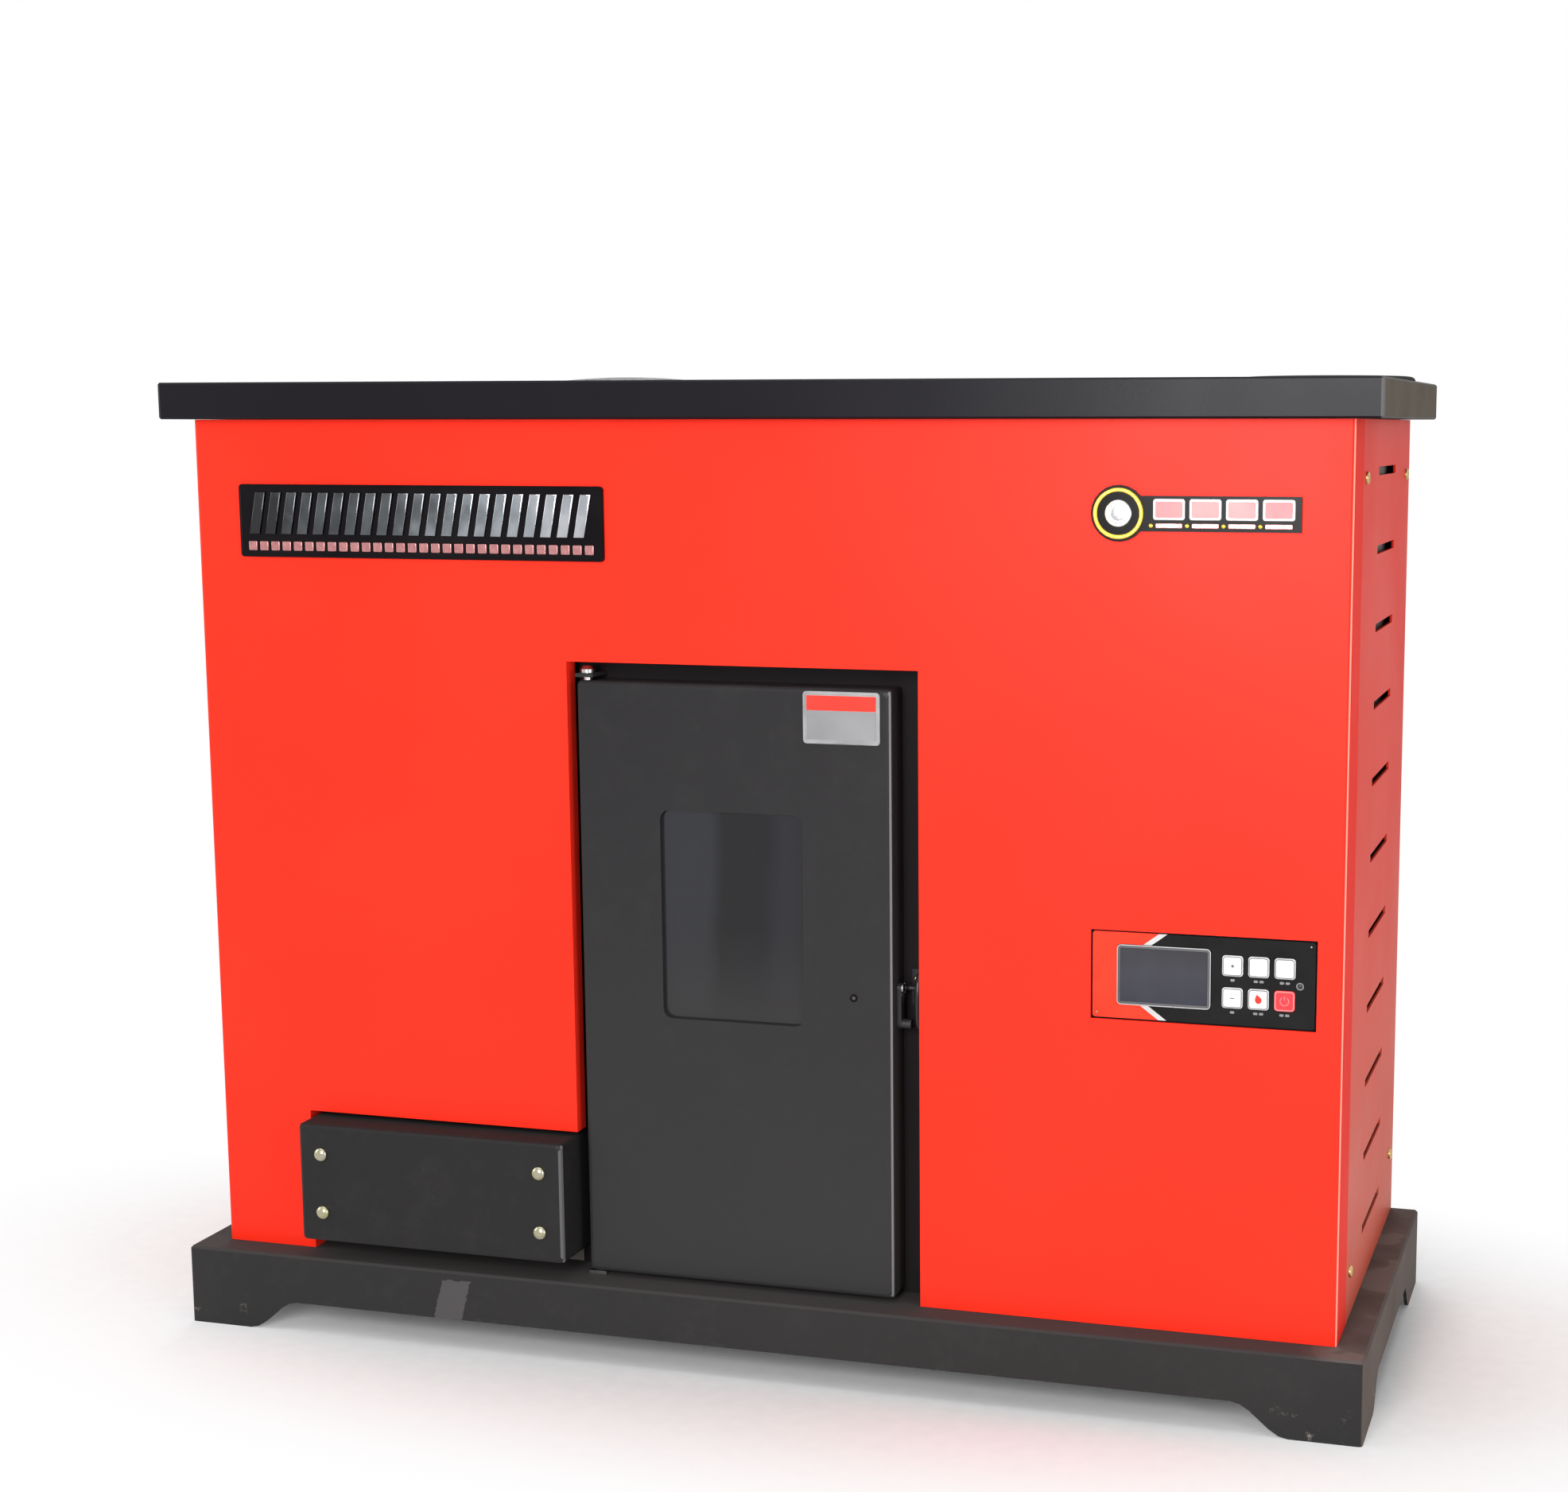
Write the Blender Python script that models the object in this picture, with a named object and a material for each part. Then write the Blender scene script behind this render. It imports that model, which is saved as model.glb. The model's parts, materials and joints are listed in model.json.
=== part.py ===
"""Boiler stove: an automatic stove in a folded-steel cabinet on a bracket-foot plinth.

Metres, +Z up. The front faces -Y. The origin is on the floor, under the middle of the whole object.
"""

import math

import bmesh
import bpy

# Clearances and sheet thicknesses
GAP = 0.0003
SHEET = 0.002
PLATE = 0.004
BEND_RADIUS = 0.003

# Cabinet
CABINET_WIDTH = 1.000
CABINET_DEPTH = 0.375
PANEL_HEIGHT = 0.733
RETURN_DEPTH = 0.050
SIDE_FLANGE = 0.015
REAR_FLANGE = 0.020

# Plinth
BASE_HEIGHT = 0.070
BASE_SHEET = 0.003
BASE_SIDE_OVERHANG = 0.025
BASE_FRONT_OVERHANG = 0.0266
BASE_REAR_OVERHANG = 0.0025
BASE_EDGE = 0.002
APRON_CLEARANCE = 0.027
FRONT_FOOT_FLAT = 0.059
FRONT_FOOT_CURVE = 0.047
SIDE_FOOT_FLAT = 0.068
SIDE_FOOT_CURVE = 0.034

# Top slab and its round lids
SLAB_HEIGHT = 0.031
SLAB_SIDE_OVERHANG = 0.023
SLAB_FRONT_OVERHANG = 0.018
SLAB_REAR_OVERHANG = 0.002
SLAB_LIP = 0.030
SLAB_EDGE = 0.0015
LID_PROUD = 0.0065
LID_PLUG_DEPTH = 0.008
LID_CLEARANCE = 0.002
LID_OVERLAP = 0.015
LID_RIM = 0.012
STOVE_LID_RADIUS = 0.074
STOVE_LID_FROM_LEFT = 0.326
STOVE_LID_FROM_FRONT = 0.190
STOVE_LID_EDGE = 0.002
HOPPER_LID_RADIUS = 0.075
HOPPER_LID_PROUD = 0.0055
HOPPER_LID_FROM_REAR = 0.0937
HOPPER_NECK_RADIUS = 0.049
HOPPER_NECK_CLEARANCE = 0.0013
LID_HINGE_OFFSET = 0.006
LID_HINGE_RADIUS = 0.003
LID_PIN_RADIUS = 0.0012
LID_KNUCKLE_LENGTH = 0.020
LID_EAR_WIDTH = 0.006

# Door bay and clean-out opening in the front panel
BAY_FROM_LEFT = 0.3445
BAY_WIDTH = 0.308
BAY_HEIGHT = 0.5325
BAY_FLANGE = 0.017
CLEAN_FROM_LEFT = 0.0866
CLEAN_HEIGHT = 0.1265
CLEAN_CLEARANCE = 0.004

# Fire door
DOOR_LEFT_CLEARANCE = 0.0085
DOOR_RIGHT_CLEARANCE = 0.023
DOOR_TOP_CLEARANCE = 0.016
DOOR_BOTTOM_CLEARANCE = 0.004
DOOR_DEPTH = 0.029
DOOR_EDGE_RADIUS = 0.004
DOOR_SEAL_SPACE = 0.0025
WINDOW_WIDTH = 0.126
WINDOW_HEIGHT = 0.178
WINDOW_FROM_DOOR_LEFT = 0.0735
WINDOW_FROM_DOOR_BOTTOM = 0.2285
WINDOW_CORNER = 0.008
WINDOW_RECESS = 0.0042
GLASS_THICKNESS = 0.005
GLASS_OVERLAP = 0.010
SEAL_WIDTH = 0.008
SEAL_FROM_DOOR_EDGE = 0.004
PAN_FROM_BACK = 0.0065
LABEL_WIDTH = 0.066
LABEL_HEIGHT = 0.043
LABEL_FROM_DOOR_RIGHT = 0.0091
LABEL_FROM_DOOR_TOP = 0.0027
PLATE_CORNER = 0.003
LABEL_THICKNESS = 0.0008

# Door hinge and latch
PIN_RADIUS = 0.004
PIN_FROM_DOOR_LEFT = 0.0065
PIN_FROM_FRONT = 0.010
PIN_ENGAGEMENT = 0.010
PIN_HEAD_HEIGHT = 0.006
BRACKET_THICKNESS = 0.003
BRACKET_WIDTH = 0.016
LATCH_FROM_DOOR_BOTTOM = 0.2637
LATCH_FROM_FRONT = 0.0145
LATCH_THICKNESS = 0.004
LATCH_BOLT_RADIUS = 0.003
LATCH_HALF_WIDTH = 0.0045
LATCH_LENGTH = 0.030
LATCH_ARM = 0.0125
LATCH_ARM_DEPTH = 0.0085
KEEPER_PIN_RADIUS = 0.0022
KEEPER_PIN_AHEAD = 0.009
KEEPER_PIN_DROP = 0.0015
KEEPER_FROM_DOOR = 0.016

# Clean-out cover
COVER_PROUD = 0.028
COVER_BOTTOM = 0.017
COVER_RIGHT_CLEARANCE = 0.0025
BOLT_HEAD_RADIUS = 0.00625
BOLT_HEAD_HEIGHT = 0.004
BOLT_RADIUS = 0.003
BOLT_INSET = 0.0215
BOLT_RISE = 0.0265

# Furnace
REAR_SPACE = 0.040
FURNACE_SIDE_MARGIN = 0.011
FURNACE_HEIGHT = 0.660
WATER_GAP = 0.026
FIREBOX_FLOOR = 0.020
MOUTH_SIDE_INSET = 0.0275
MOUTH_TOP_INSET = 0.026
SHELF_HEIGHT = 0.108
POT_RADIUS = 0.049
POT_FLANGE = 0.009
POT_RISE = 0.046
POT_DROP = 0.010
POT_FROM_RIGHT = 0.152
POT_FROM_FRONT = 0.158
DRAWER_HEIGHT = 0.068
DRAWER_SIDE_CLEARANCE = 0.004
BAFFLE_HEIGHT = 0.520
BAFFLE_FROM_FRONT = 0.040
DUCT_WIDTH = 0.120
DUCT_HEIGHT = 0.050
DUCT_Z = 0.570
IGNITER_RADIUS = 0.005

# Heat exchanger
EXCHANGER_FROM_LEFT = 0.080
EXCHANGER_HEIGHT = 0.640
TUBE_RADIUS = 0.021
TUBE_WALL = 0.003
TUBE_COLUMNS = 3
TUBE_ROWS = 2
TUBE_SHEET_LOW = 0.170
TUBE_SHEET_HIGH = 0.520

# Fuel feed
AUGER_HEIGHT = 0.315
AUGER_FROM_FRONT = 0.200
AUGER_TUBE_RADIUS = 0.028
AUGER_FLIGHT_RADIUS = 0.0235
AUGER_SHAFT_RADIUS = 0.008
AUGER_PITCH = 0.050
AUGER_REACH = 0.094
MOTOR_CLEARANCE = 0.0205
HOPPER_WALL = 0.0015
HOPPER_SIDE_CLEARANCE = 0.008
HOPPER_FROM_FURNACE = 0.0385
HOPPER_TOP_CLEARANCE = 0.003
HOPPER_FRONT_SPACE = 0.075
HOPPER_REAR_SPACE = 0.030
HOPPER_SHOULDER = 0.450
HOPPER_OUTLET = 0.040
HOPPER_OUTLET_SHIFT = 0.025
MOTOR_SIZE = 0.050

# Fans, pipes and services
FAN_WALL = 0.002
FAN_CLEARANCE = 0.0035
FAN_SHAFT_RADIUS = 0.004
EXHAUST_FAN_RADIUS = 0.055
EXHAUST_FAN_HEIGHT = 0.100
FLUE_RADIUS = 0.040
FLUE_REACH = 0.050
BURNER_FAN_RADIUS = 0.045
BURNER_FAN_HEIGHT = 0.190
BURNER_DUCT_RADIUS = 0.018
ROTOR_BLADES = 8
PIPE_RADIUS = 0.0165
PIPE_WALL = 0.003
PIPE_REACH = 0.035
FLOW_HEIGHT = 0.600
RETURN_HEIGHT = 0.080
PIPE_FROM_FURNACE_RIGHT = 0.050
INLET_WIDTH = 0.048
INLET_HEIGHT = 0.028
INLET_FROM_RIGHT = 0.150
INLET_Z = 0.080
INLET_DEPTH = 0.020
INLET_SOCKET_DEPTH = 0.014
INLET_WALL = 0.010

# Controller
CONTROLLER_WIDTH = 0.179
CONTROLLER_HEIGHT = 0.070
CONTROLLER_FROM_RIGHT = 0.023
CONTROLLER_Z = 0.2577
CONTROLLER_DEPTH = 0.045
FACE_THICKNESS = 0.003
FACE_RECESS = 0.001
CONTROLLER_CLEARANCE = 0.0015
KEY_SIZE = 0.0165
KEY_CORNER = 0.0025
KEY_PITCH_X = 0.0208
KEY_PITCH_Z = 0.0259
KEY_PROUD = 0.0012
KEY_FROM_LEFT = 0.1134
KEY_ROW_Z = 0.0219
KEY_NAMES = (("key_minus", "key_flame", "key_power"), ("key_plus", "key_menu", "key_timer"))
LENS_LEFT = 0.020
LENS_BOTTOM = 0.0113
LENS_WIDTH = 0.076
LENS_HEIGHT = 0.049

# Plates on the front panel
NAMEPLATE_FROM_LEFT = 0.043
NAMEPLATE_WIDTH = 0.339
NAMEPLATE_HEIGHT = 0.062
NAMEPLATE_Z = 0.616
NAMEPLATE_THICKNESS = 0.0025
BADGE_FROM_RIGHT = 0.040
BADGE_WIDTH = 0.165
BADGE_HEIGHT = 0.044
BADGE_Z = 0.638

# Vent slots in the side panels
SLOT_COUNT = 11
SLOT_LENGTH = 0.118
SLOT_HEIGHT = 0.007
SLOT_PITCH = 0.0641
SLOT_LOWEST = 0.050
SLOT_FROM_FRONT = 0.208

# Places worked out from the sizes above
LEFT = -CABINET_WIDTH / 2
RIGHT = CABINET_WIDTH / 2
FRONT = -(CABINET_DEPTH + FLUE_REACH - COVER_PROUD - BOLT_HEAD_HEIGHT - GAP) / 2
REAR = FRONT + CABINET_DEPTH
BASE_TOP = BASE_HEIGHT
PANEL_TOP = BASE_TOP + PANEL_HEIGHT
SLAB_TOP = PANEL_TOP + SLAB_HEIGHT
BAY_LEFT = LEFT + BAY_FROM_LEFT
BAY_RIGHT = BAY_LEFT + BAY_WIDTH
BAY_TOP = BASE_TOP + BAY_HEIGHT
CLEAN_LEFT = LEFT + CLEAN_FROM_LEFT
CLEAN_TOP = BASE_TOP + CLEAN_HEIGHT
DOOR_LEFT = BAY_LEFT + DOOR_LEFT_CLEARANCE
DOOR_RIGHT = BAY_RIGHT - DOOR_RIGHT_CLEARANCE
DOOR_BOTTOM = BASE_TOP + DOOR_BOTTOM_CLEARANCE
DOOR_TOP = BAY_TOP - DOOR_TOP_CLEARANCE
DOOR_BACK = FRONT + DOOR_DEPTH
WINDOW_LEFT = DOOR_LEFT + WINDOW_FROM_DOOR_LEFT
WINDOW_BOTTOM = DOOR_BOTTOM + WINDOW_FROM_DOOR_BOTTOM
WINDOW = (WINDOW_LEFT, WINDOW_BOTTOM, WINDOW_LEFT + WINDOW_WIDTH, WINDOW_BOTTOM + WINDOW_HEIGHT)
HINGE_X = DOOR_LEFT + PIN_FROM_DOOR_LEFT
HINGE_Y = FRONT + PIN_FROM_FRONT
LATCH_Y = FRONT + LATCH_FROM_FRONT
LATCH_Z = DOOR_BOTTOM + LATCH_FROM_DOOR_BOTTOM
FURNACE_FRONT = DOOR_BACK + DOOR_SEAL_SPACE
FURNACE_REAR = REAR - REAR_SPACE
FURNACE_LEFT = BAY_LEFT - FURNACE_SIDE_MARGIN
FURNACE_RIGHT = BAY_RIGHT + FURNACE_SIDE_MARGIN
FURNACE_TOP = BASE_TOP + FURNACE_HEIGHT
FIREBOX_LEFT = FURNACE_LEFT + PLATE + WATER_GAP
FIREBOX_RIGHT = FURNACE_RIGHT - PLATE - WATER_GAP
FIREBOX_BOTTOM = BASE_TOP + FIREBOX_FLOOR - PLATE
FIREBOX_TOP = FURNACE_TOP - PLATE - WATER_GAP
FIREBOX_REAR = FURNACE_REAR - PLATE - WATER_GAP
SHELL_FRONT = FURNACE_FRONT + PLATE + GAP
MOUTH = (DOOR_LEFT + MOUTH_SIDE_INSET, BASE_TOP + FIREBOX_FLOOR - GAP, DOOR_RIGHT - MOUTH_SIDE_INSET,
         DOOR_TOP - MOUTH_TOP_INSET)
POT_X = FIREBOX_RIGHT - POT_FROM_RIGHT + POT_FLANGE
POT_Y = FURNACE_FRONT + POT_FROM_FRONT
SHELF_Z = BASE_TOP + SHELF_HEIGHT
EXCHANGER_LEFT = LEFT + EXCHANGER_FROM_LEFT
EXCHANGER_RIGHT = FURNACE_LEFT - GAP
COVER_LEFT = CLEAN_LEFT + CLEAN_CLEARANCE
COVER_RIGHT = BAY_LEFT - COVER_RIGHT_CLEARANCE
COVER_TOP = CLEAN_TOP - CLEAN_CLEARANCE
COVER_FRONT = FRONT - COVER_PROUD
AUGER_Y = FRONT + AUGER_FROM_FRONT
AUGER_Z = BASE_TOP + AUGER_HEIGHT
AUGER_START = FIREBOX_RIGHT - AUGER_REACH
AUGER_END = RIGHT - MOTOR_SIZE - MOTOR_CLEARANCE
HOPPER_RIGHT = RIGHT - HOPPER_SIDE_CLEARANCE
HOPPER_LEFT = FURNACE_RIGHT + HOPPER_FROM_FURNACE
HOPPER_TOP = PANEL_TOP - HOPPER_TOP_CLEARANCE
HOPPER_OUTLET_X = (HOPPER_LEFT + HOPPER_RIGHT) / 2 - HOPPER_OUTLET_SHIFT
STOVE_LID_X = LEFT + STOVE_LID_FROM_LEFT
STOVE_LID_Y = FRONT + STOVE_LID_FROM_FRONT
STOVE_HOLE_RADIUS = STOVE_LID_RADIUS - LID_OVERLAP
HOPPER_LID_X = HOPPER_RIGHT - HOPPER_WALL - HOPPER_NECK_CLEARANCE - SHEET - HOPPER_NECK_RADIUS
HOPPER_LID_Y = REAR - HOPPER_LID_FROM_REAR
LID_HINGE_Y = HOPPER_LID_Y + HOPPER_LID_RADIUS + LID_HINGE_OFFSET
LID_HINGE_Z = SLAB_TOP + GAP + LID_HINGE_RADIUS
CONTROLLER_LEFT = RIGHT - CONTROLLER_FROM_RIGHT - CONTROLLER_WIDTH
CONTROLLER_BOTTOM = BASE_TOP + CONTROLLER_Z
FACE_FRONT = FRONT + FACE_RECESS
EXHAUST_X = (EXCHANGER_LEFT + EXCHANGER_RIGHT) / 2
EXHAUST_Z = BASE_TOP + EXHAUST_FAN_HEIGHT
BURNER_FAN_X = FIREBOX_LEFT + BURNER_FAN_RADIUS + PLATE
BURNER_FAN_Z = BASE_TOP + BURNER_FAN_HEIGHT
PIPE_X = FURNACE_RIGHT - PIPE_FROM_FURNACE_RIGHT
INLET_X = RIGHT - INLET_FROM_RIGHT

ROUND_SIDES = 24
LID_SIDES = 40
DOME_STEPS = 5
SMALL_SIDES = 12


def make_material(name, colour, roughness, metallic=0.0):
    material = bpy.data.materials.new(name)
    material.use_nodes = True
    shader = material.node_tree.nodes["Principled BSDF"]
    shader.inputs["Base Color"].default_value = (*colour, 1.0)
    shader.inputs["Roughness"].default_value = roughness
    shader.inputs["Metallic"].default_value = metallic
    return material


for leftover in list(bpy.data.objects):
    bpy.data.objects.remove(leftover, do_unlink=True)

RED_PAINT = make_material("red_paint", (0.95, 0.045, 0.022), 0.35)
BLACK_PAINT = make_material("black_paint", (0.035, 0.035, 0.037), 0.45)
BOILER_STEEL = make_material("boiler_steel", (0.10, 0.095, 0.09), 0.6, 0.8)
CAST_IRON = make_material("cast_iron", (0.05, 0.05, 0.05), 0.7, 0.5)
ZINC = make_material("zinc", (0.62, 0.60, 0.52), 0.3, 1.0)
GALVANISED = make_material("galvanised", (0.55, 0.56, 0.57), 0.45, 1.0)
GLASS = make_material("dark_glass", (0.02, 0.022, 0.025), 0.08)
ROPE = make_material("fibre_rope", (0.55, 0.52, 0.45), 0.95)
SILVER_PLATE = make_material("silver_plate", (0.6, 0.6, 0.6), 0.35, 0.6)
GLOSS_BLACK = make_material("gloss_black", (0.012, 0.012, 0.013), 0.15)
WHITE_KEY = make_material("white_key", (0.85, 0.86, 0.87), 0.4)
RED_KEY = make_material("red_key", (0.75, 0.05, 0.05), 0.4)


# Outlines in a plane, as lists of (u, v)
def arc(centre_u, centre_v, radius, first_degrees, last_degrees, steps):
    points = []
    for step in range(steps + 1):
        angle = math.radians(first_degrees + (last_degrees - first_degrees) * step / steps)
        points.append((centre_u + radius * math.cos(angle), centre_v + radius * math.sin(angle)))
    return points


def rounded_rectangle(low_u, low_v, high_u, high_v, radius, steps=3):
    return (arc(high_u - radius, low_v + radius, radius, -90, 0, steps)
            + arc(high_u - radius, high_v - radius, radius, 0, 90, steps)
            + arc(low_u + radius, high_v - radius, radius, 90, 180, steps)
            + arc(low_u + radius, low_v + radius, radius, 180, 270, steps))


def grown(rectangle, margin):
    low_u, low_v, high_u, high_v = rectangle
    return (low_u - margin, low_v - margin, high_u + margin, high_v + margin)


def in_space(outline, axis, position):
    """The outline as 3-D points in the plane across the axis."""
    if axis == "X":
        return [(position, u, v) for u, v in outline]
    if axis == "Y":
        return [(u, position, v) for u, v in outline]
    return [(u, v, position) for u, v in outline]


# Closed bodies, added to a bmesh
def add_loft(bm, rings, closed=False):
    """Skins rings of equal counts. Open lofts get flat caps, closed ones join last to first."""
    rows = [[bm.verts.new(point) for point in ring] for ring in rings]
    count = len(rows[0])
    pairs = list(zip(rows, rows[1:]))
    if closed:
        pairs.append((rows[-1], rows[0]))
    else:
        bm.faces.new(list(reversed(rows[0])))
        bm.faces.new(rows[-1])
    for low, high in pairs:
        for i in range(count):
            j = (i + 1) % count
            bm.faces.new((low[i], low[j], high[j], high[i]))


def add_prism(bm, outline, axis, start, end):
    add_loft(bm, [in_space(outline, axis, start), in_space(outline, axis, end)])


def add_box(bm, low, high):
    outline = [(low[0], low[1]), (high[0], low[1]), (high[0], high[1]), (low[0], high[1])]
    add_prism(bm, outline, "Z", low[2], high[2])


def add_turned(bm, profile, axis, centre, sides, closed=False):
    """Turns (radius, height) points round an axis through the centre. A radius of 0 is a pole."""
    rows = []
    for radius, height in profile:
        if radius == 0:
            rows.append([bm.verts.new(turned_point(0, 0, height, axis, centre))])
            continue
        row = []
        for i in range(sides):
            angle = 2 * math.pi * i / sides
            u, v = radius * math.cos(angle), radius * math.sin(angle)
            row.append(bm.verts.new(turned_point(u, v, height, axis, centre)))
        rows.append(row)
    pairs = list(zip(rows, rows[1:]))
    if closed:
        pairs.append((rows[-1], rows[0]))
    for low, high in pairs:
        for i in range(sides):
            j = (i + 1) % sides
            if len(low) == 1:
                bm.faces.new((low[0], high[j], high[i]))
            elif len(high) == 1:
                bm.faces.new((low[i], low[j], high[0]))
            else:
                bm.faces.new((low[i], low[j], high[j], high[i]))


def turned_point(u, v, height, axis, centre):
    x, y, z = centre
    if axis == "X":
        return (x + height, y + u, z + v)
    if axis == "Y":
        return (x + v, y + height, z + u)
    return (x + u, y + v, z + height)


def add_rod(bm, axis, centre, radius, start, end, sides=SMALL_SIDES):
    """A cylinder round an axis through the centre, from start to end along it."""
    offset = {"X": centre[0], "Y": centre[1], "Z": centre[2]}[axis]
    profile = [(0, start - offset), (radius, start - offset), (radius, end - offset), (0, end - offset)]
    add_turned(bm, profile, axis, centre, sides)


def add_pipe(bm, axis, centre, outer, inner, start, end, sides=ROUND_SIDES):
    offset = {"X": centre[0], "Y": centre[1], "Z": centre[2]}[axis]
    profile = [(outer, start - offset), (outer, end - offset), (inner, end - offset), (inner, start - offset)]
    add_turned(bm, profile, axis, centre, sides, closed=True)


# Objects
def make_object(name, bm, material, pivot=None):
    """A named object from world-space geometry, placed at its box's middle and parented to its pivot."""
    bmesh.ops.recalc_face_normals(bm, faces=bm.faces)
    corners = [vert.co for vert in bm.verts]
    middle = [(min(c[k] for c in corners) + max(c[k] for c in corners)) / 2 for k in range(3)]
    base = world_place(pivot)
    bmesh.ops.translate(bm, verts=bm.verts, vec=[-m for m in middle])
    mesh = bpy.data.meshes.new(name)
    bm.to_mesh(mesh)
    bm.free()
    obj = bpy.data.objects.new(name, mesh)
    bpy.context.collection.objects.link(obj)
    obj.parent = pivot
    obj.location = [middle[k] - base[k] for k in range(3)]
    if material:
        mesh.materials.append(material)
    return obj


def world_place(pivot):
    """Where an empty stands, counted up through its parents."""
    place = [0.0, 0.0, 0.0]
    while pivot:
        place = [place[k] + pivot.location[k] for k in range(3)]
        pivot = pivot.parent
    return place


def make_pivot(name, place, parent=None):
    """An empty on a joint's axis, given in world space."""
    pivot = bpy.data.objects.new(name, None)
    bpy.context.collection.objects.link(pivot)
    base = world_place(parent)
    pivot.parent = parent
    pivot.location = [place[k] - base[k] for k in range(3)]
    pivot.empty_display_size = 0.03
    return pivot


def boolean(obj, bm, operation):
    """Joins a helper body to the object, or cuts it out. The helper is hidden."""
    helper = make_object(f"{obj.name}_{operation.lower()}_{len(obj.modifiers)}", bm, None)
    helper.hide_render = True
    helper.display_type = "WIRE"
    modifier = obj.modifiers.new(helper.name, "BOOLEAN")
    modifier.operation = operation
    modifier.solver = "EXACT"
    modifier.object = helper


def cut(obj, add, *shape, **options):
    bm = bmesh.new()
    add(bm, *shape, **options)
    boolean(obj, bm, "DIFFERENCE")


def join(obj, add, *shape, **options):
    bm = bmesh.new()
    add(bm, *shape, **options)
    boolean(obj, bm, "UNION")


def solid(name, material, add, *shape, pivot=None, smooth=False, **options):
    bm = bmesh.new()
    add(bm, *shape, **options)
    obj = make_object(name, bm, material, pivot)
    if smooth:
        shade_round(obj)
    return obj


def shade_round(obj):
    obj.data.shade_smooth()
    obj.data.set_sharp_from_angle(angle=math.radians(35))


# Plinth
def apron_arch(low_u, high_u, foot_flat, foot_curve):
    """The space between two feet, from below the floor up to the apron, with eased foot curves."""
    steps = 6
    rise = []
    for step in range(steps + 1):
        share = step / steps
        height = APRON_CLEARANCE * (1 - math.cos(math.pi * share)) / 2
        rise.append((foot_flat + foot_curve * share, height))
    outline = [(low_u + foot_flat, -APRON_CLEARANCE)]
    outline += [(low_u + along, height) for along, height in rise]
    outline += [(high_u - along, height) for along, height in reversed(rise)]
    outline.append((high_u - foot_flat, -APRON_CLEARANCE))
    return outline


def build_plinth():
    low = (LEFT - BASE_SIDE_OVERHANG, FRONT - BASE_FRONT_OVERHANG, 0)
    high = (RIGHT + BASE_SIDE_OVERHANG, REAR + BASE_REAR_OVERHANG, BASE_TOP)
    outline = rounded_rectangle(low[0], low[1], high[0], high[1], BEND_RADIUS)
    edge = BASE_EDGE
    inset = rounded_rectangle(low[0] + edge, low[1] + edge, high[0] - edge, high[1] - edge, BEND_RADIUS - edge)
    rings = [in_space(outline, "Z", 0), in_space(outline, "Z", BASE_TOP - edge), in_space(inset, "Z", BASE_TOP)]
    plinth = solid("base_plinth", BLACK_PAINT, add_loft, rings)
    inner_low = (low[0] + BASE_SHEET, low[1] + BASE_SHEET, -BASE_SHEET)
    inner_high = (high[0] - BASE_SHEET, high[1] - BASE_SHEET, BASE_TOP - BASE_SHEET)
    cut(plinth, add_box, inner_low, inner_high)
    front_arch = apron_arch(low[0], high[0], FRONT_FOOT_FLAT, FRONT_FOOT_CURVE)
    cut(plinth, add_prism, front_arch, "Y", low[1] - BASE_SHEET, high[1] + BASE_SHEET)
    side_arch = apron_arch(low[1], high[1], SIDE_FOOT_FLAT, SIDE_FOOT_CURVE)
    cut(plinth, add_prism, side_arch, "X", low[0] - BASE_SHEET, high[0] + BASE_SHEET)


# Cabinet
def build_front_panel():
    bottom, top = BASE_TOP + GAP, PANEL_TOP - GAP
    back = FRONT + RETURN_DEPTH
    bend = BEND_RADIUS
    outline = arc(LEFT + bend, FRONT + bend, bend, 180, 270, 3)
    outline += arc(RIGHT - bend, FRONT + bend, bend, 270, 360, 3)
    outline += [(RIGHT, back), (RIGHT - SHEET, back), (RIGHT - SHEET, FRONT + SHEET)]
    outline += [(LEFT + SHEET, FRONT + SHEET), (LEFT + SHEET, back), (LEFT, back)]
    panel = solid("front_panel", RED_PAINT, add_prism, outline, "Z", bottom, top)
    below = BASE_TOP - SHEET
    opening = [(CLEAN_LEFT, below), (BAY_RIGHT, below), (BAY_RIGHT, BAY_TOP), (BAY_LEFT, BAY_TOP),
               (BAY_LEFT, CLEAN_TOP), (CLEAN_LEFT, CLEAN_TOP)]
    rim = [(CLEAN_LEFT - SHEET, bottom), (CLEAN_LEFT, bottom), (CLEAN_LEFT, CLEAN_TOP), (BAY_LEFT, CLEAN_TOP),
           (BAY_LEFT, BAY_TOP), (BAY_RIGHT, BAY_TOP), (BAY_RIGHT, bottom), (BAY_RIGHT + SHEET, bottom),
           (BAY_RIGHT + SHEET, BAY_TOP + SHEET), (BAY_LEFT - SHEET, BAY_TOP + SHEET),
           (BAY_LEFT - SHEET, CLEAN_TOP + SHEET), (CLEAN_LEFT - SHEET, CLEAN_TOP + SHEET)]
    cut(panel, add_prism, opening, "Y", FRONT - SHEET, back)
    join(panel, add_prism, rim, "Y", FRONT + SHEET / 2, FRONT + BAY_FLANGE)
    hole = grown((CONTROLLER_LEFT, CONTROLLER_BOTTOM, CONTROLLER_LEFT + CONTROLLER_WIDTH,
                  CONTROLLER_BOTTOM + CONTROLLER_HEIGHT), CONTROLLER_CLEARANCE)
    cut(panel, add_box, (hole[0], FRONT - SHEET, hole[1]), (hole[2], back, hole[3]))


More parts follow.
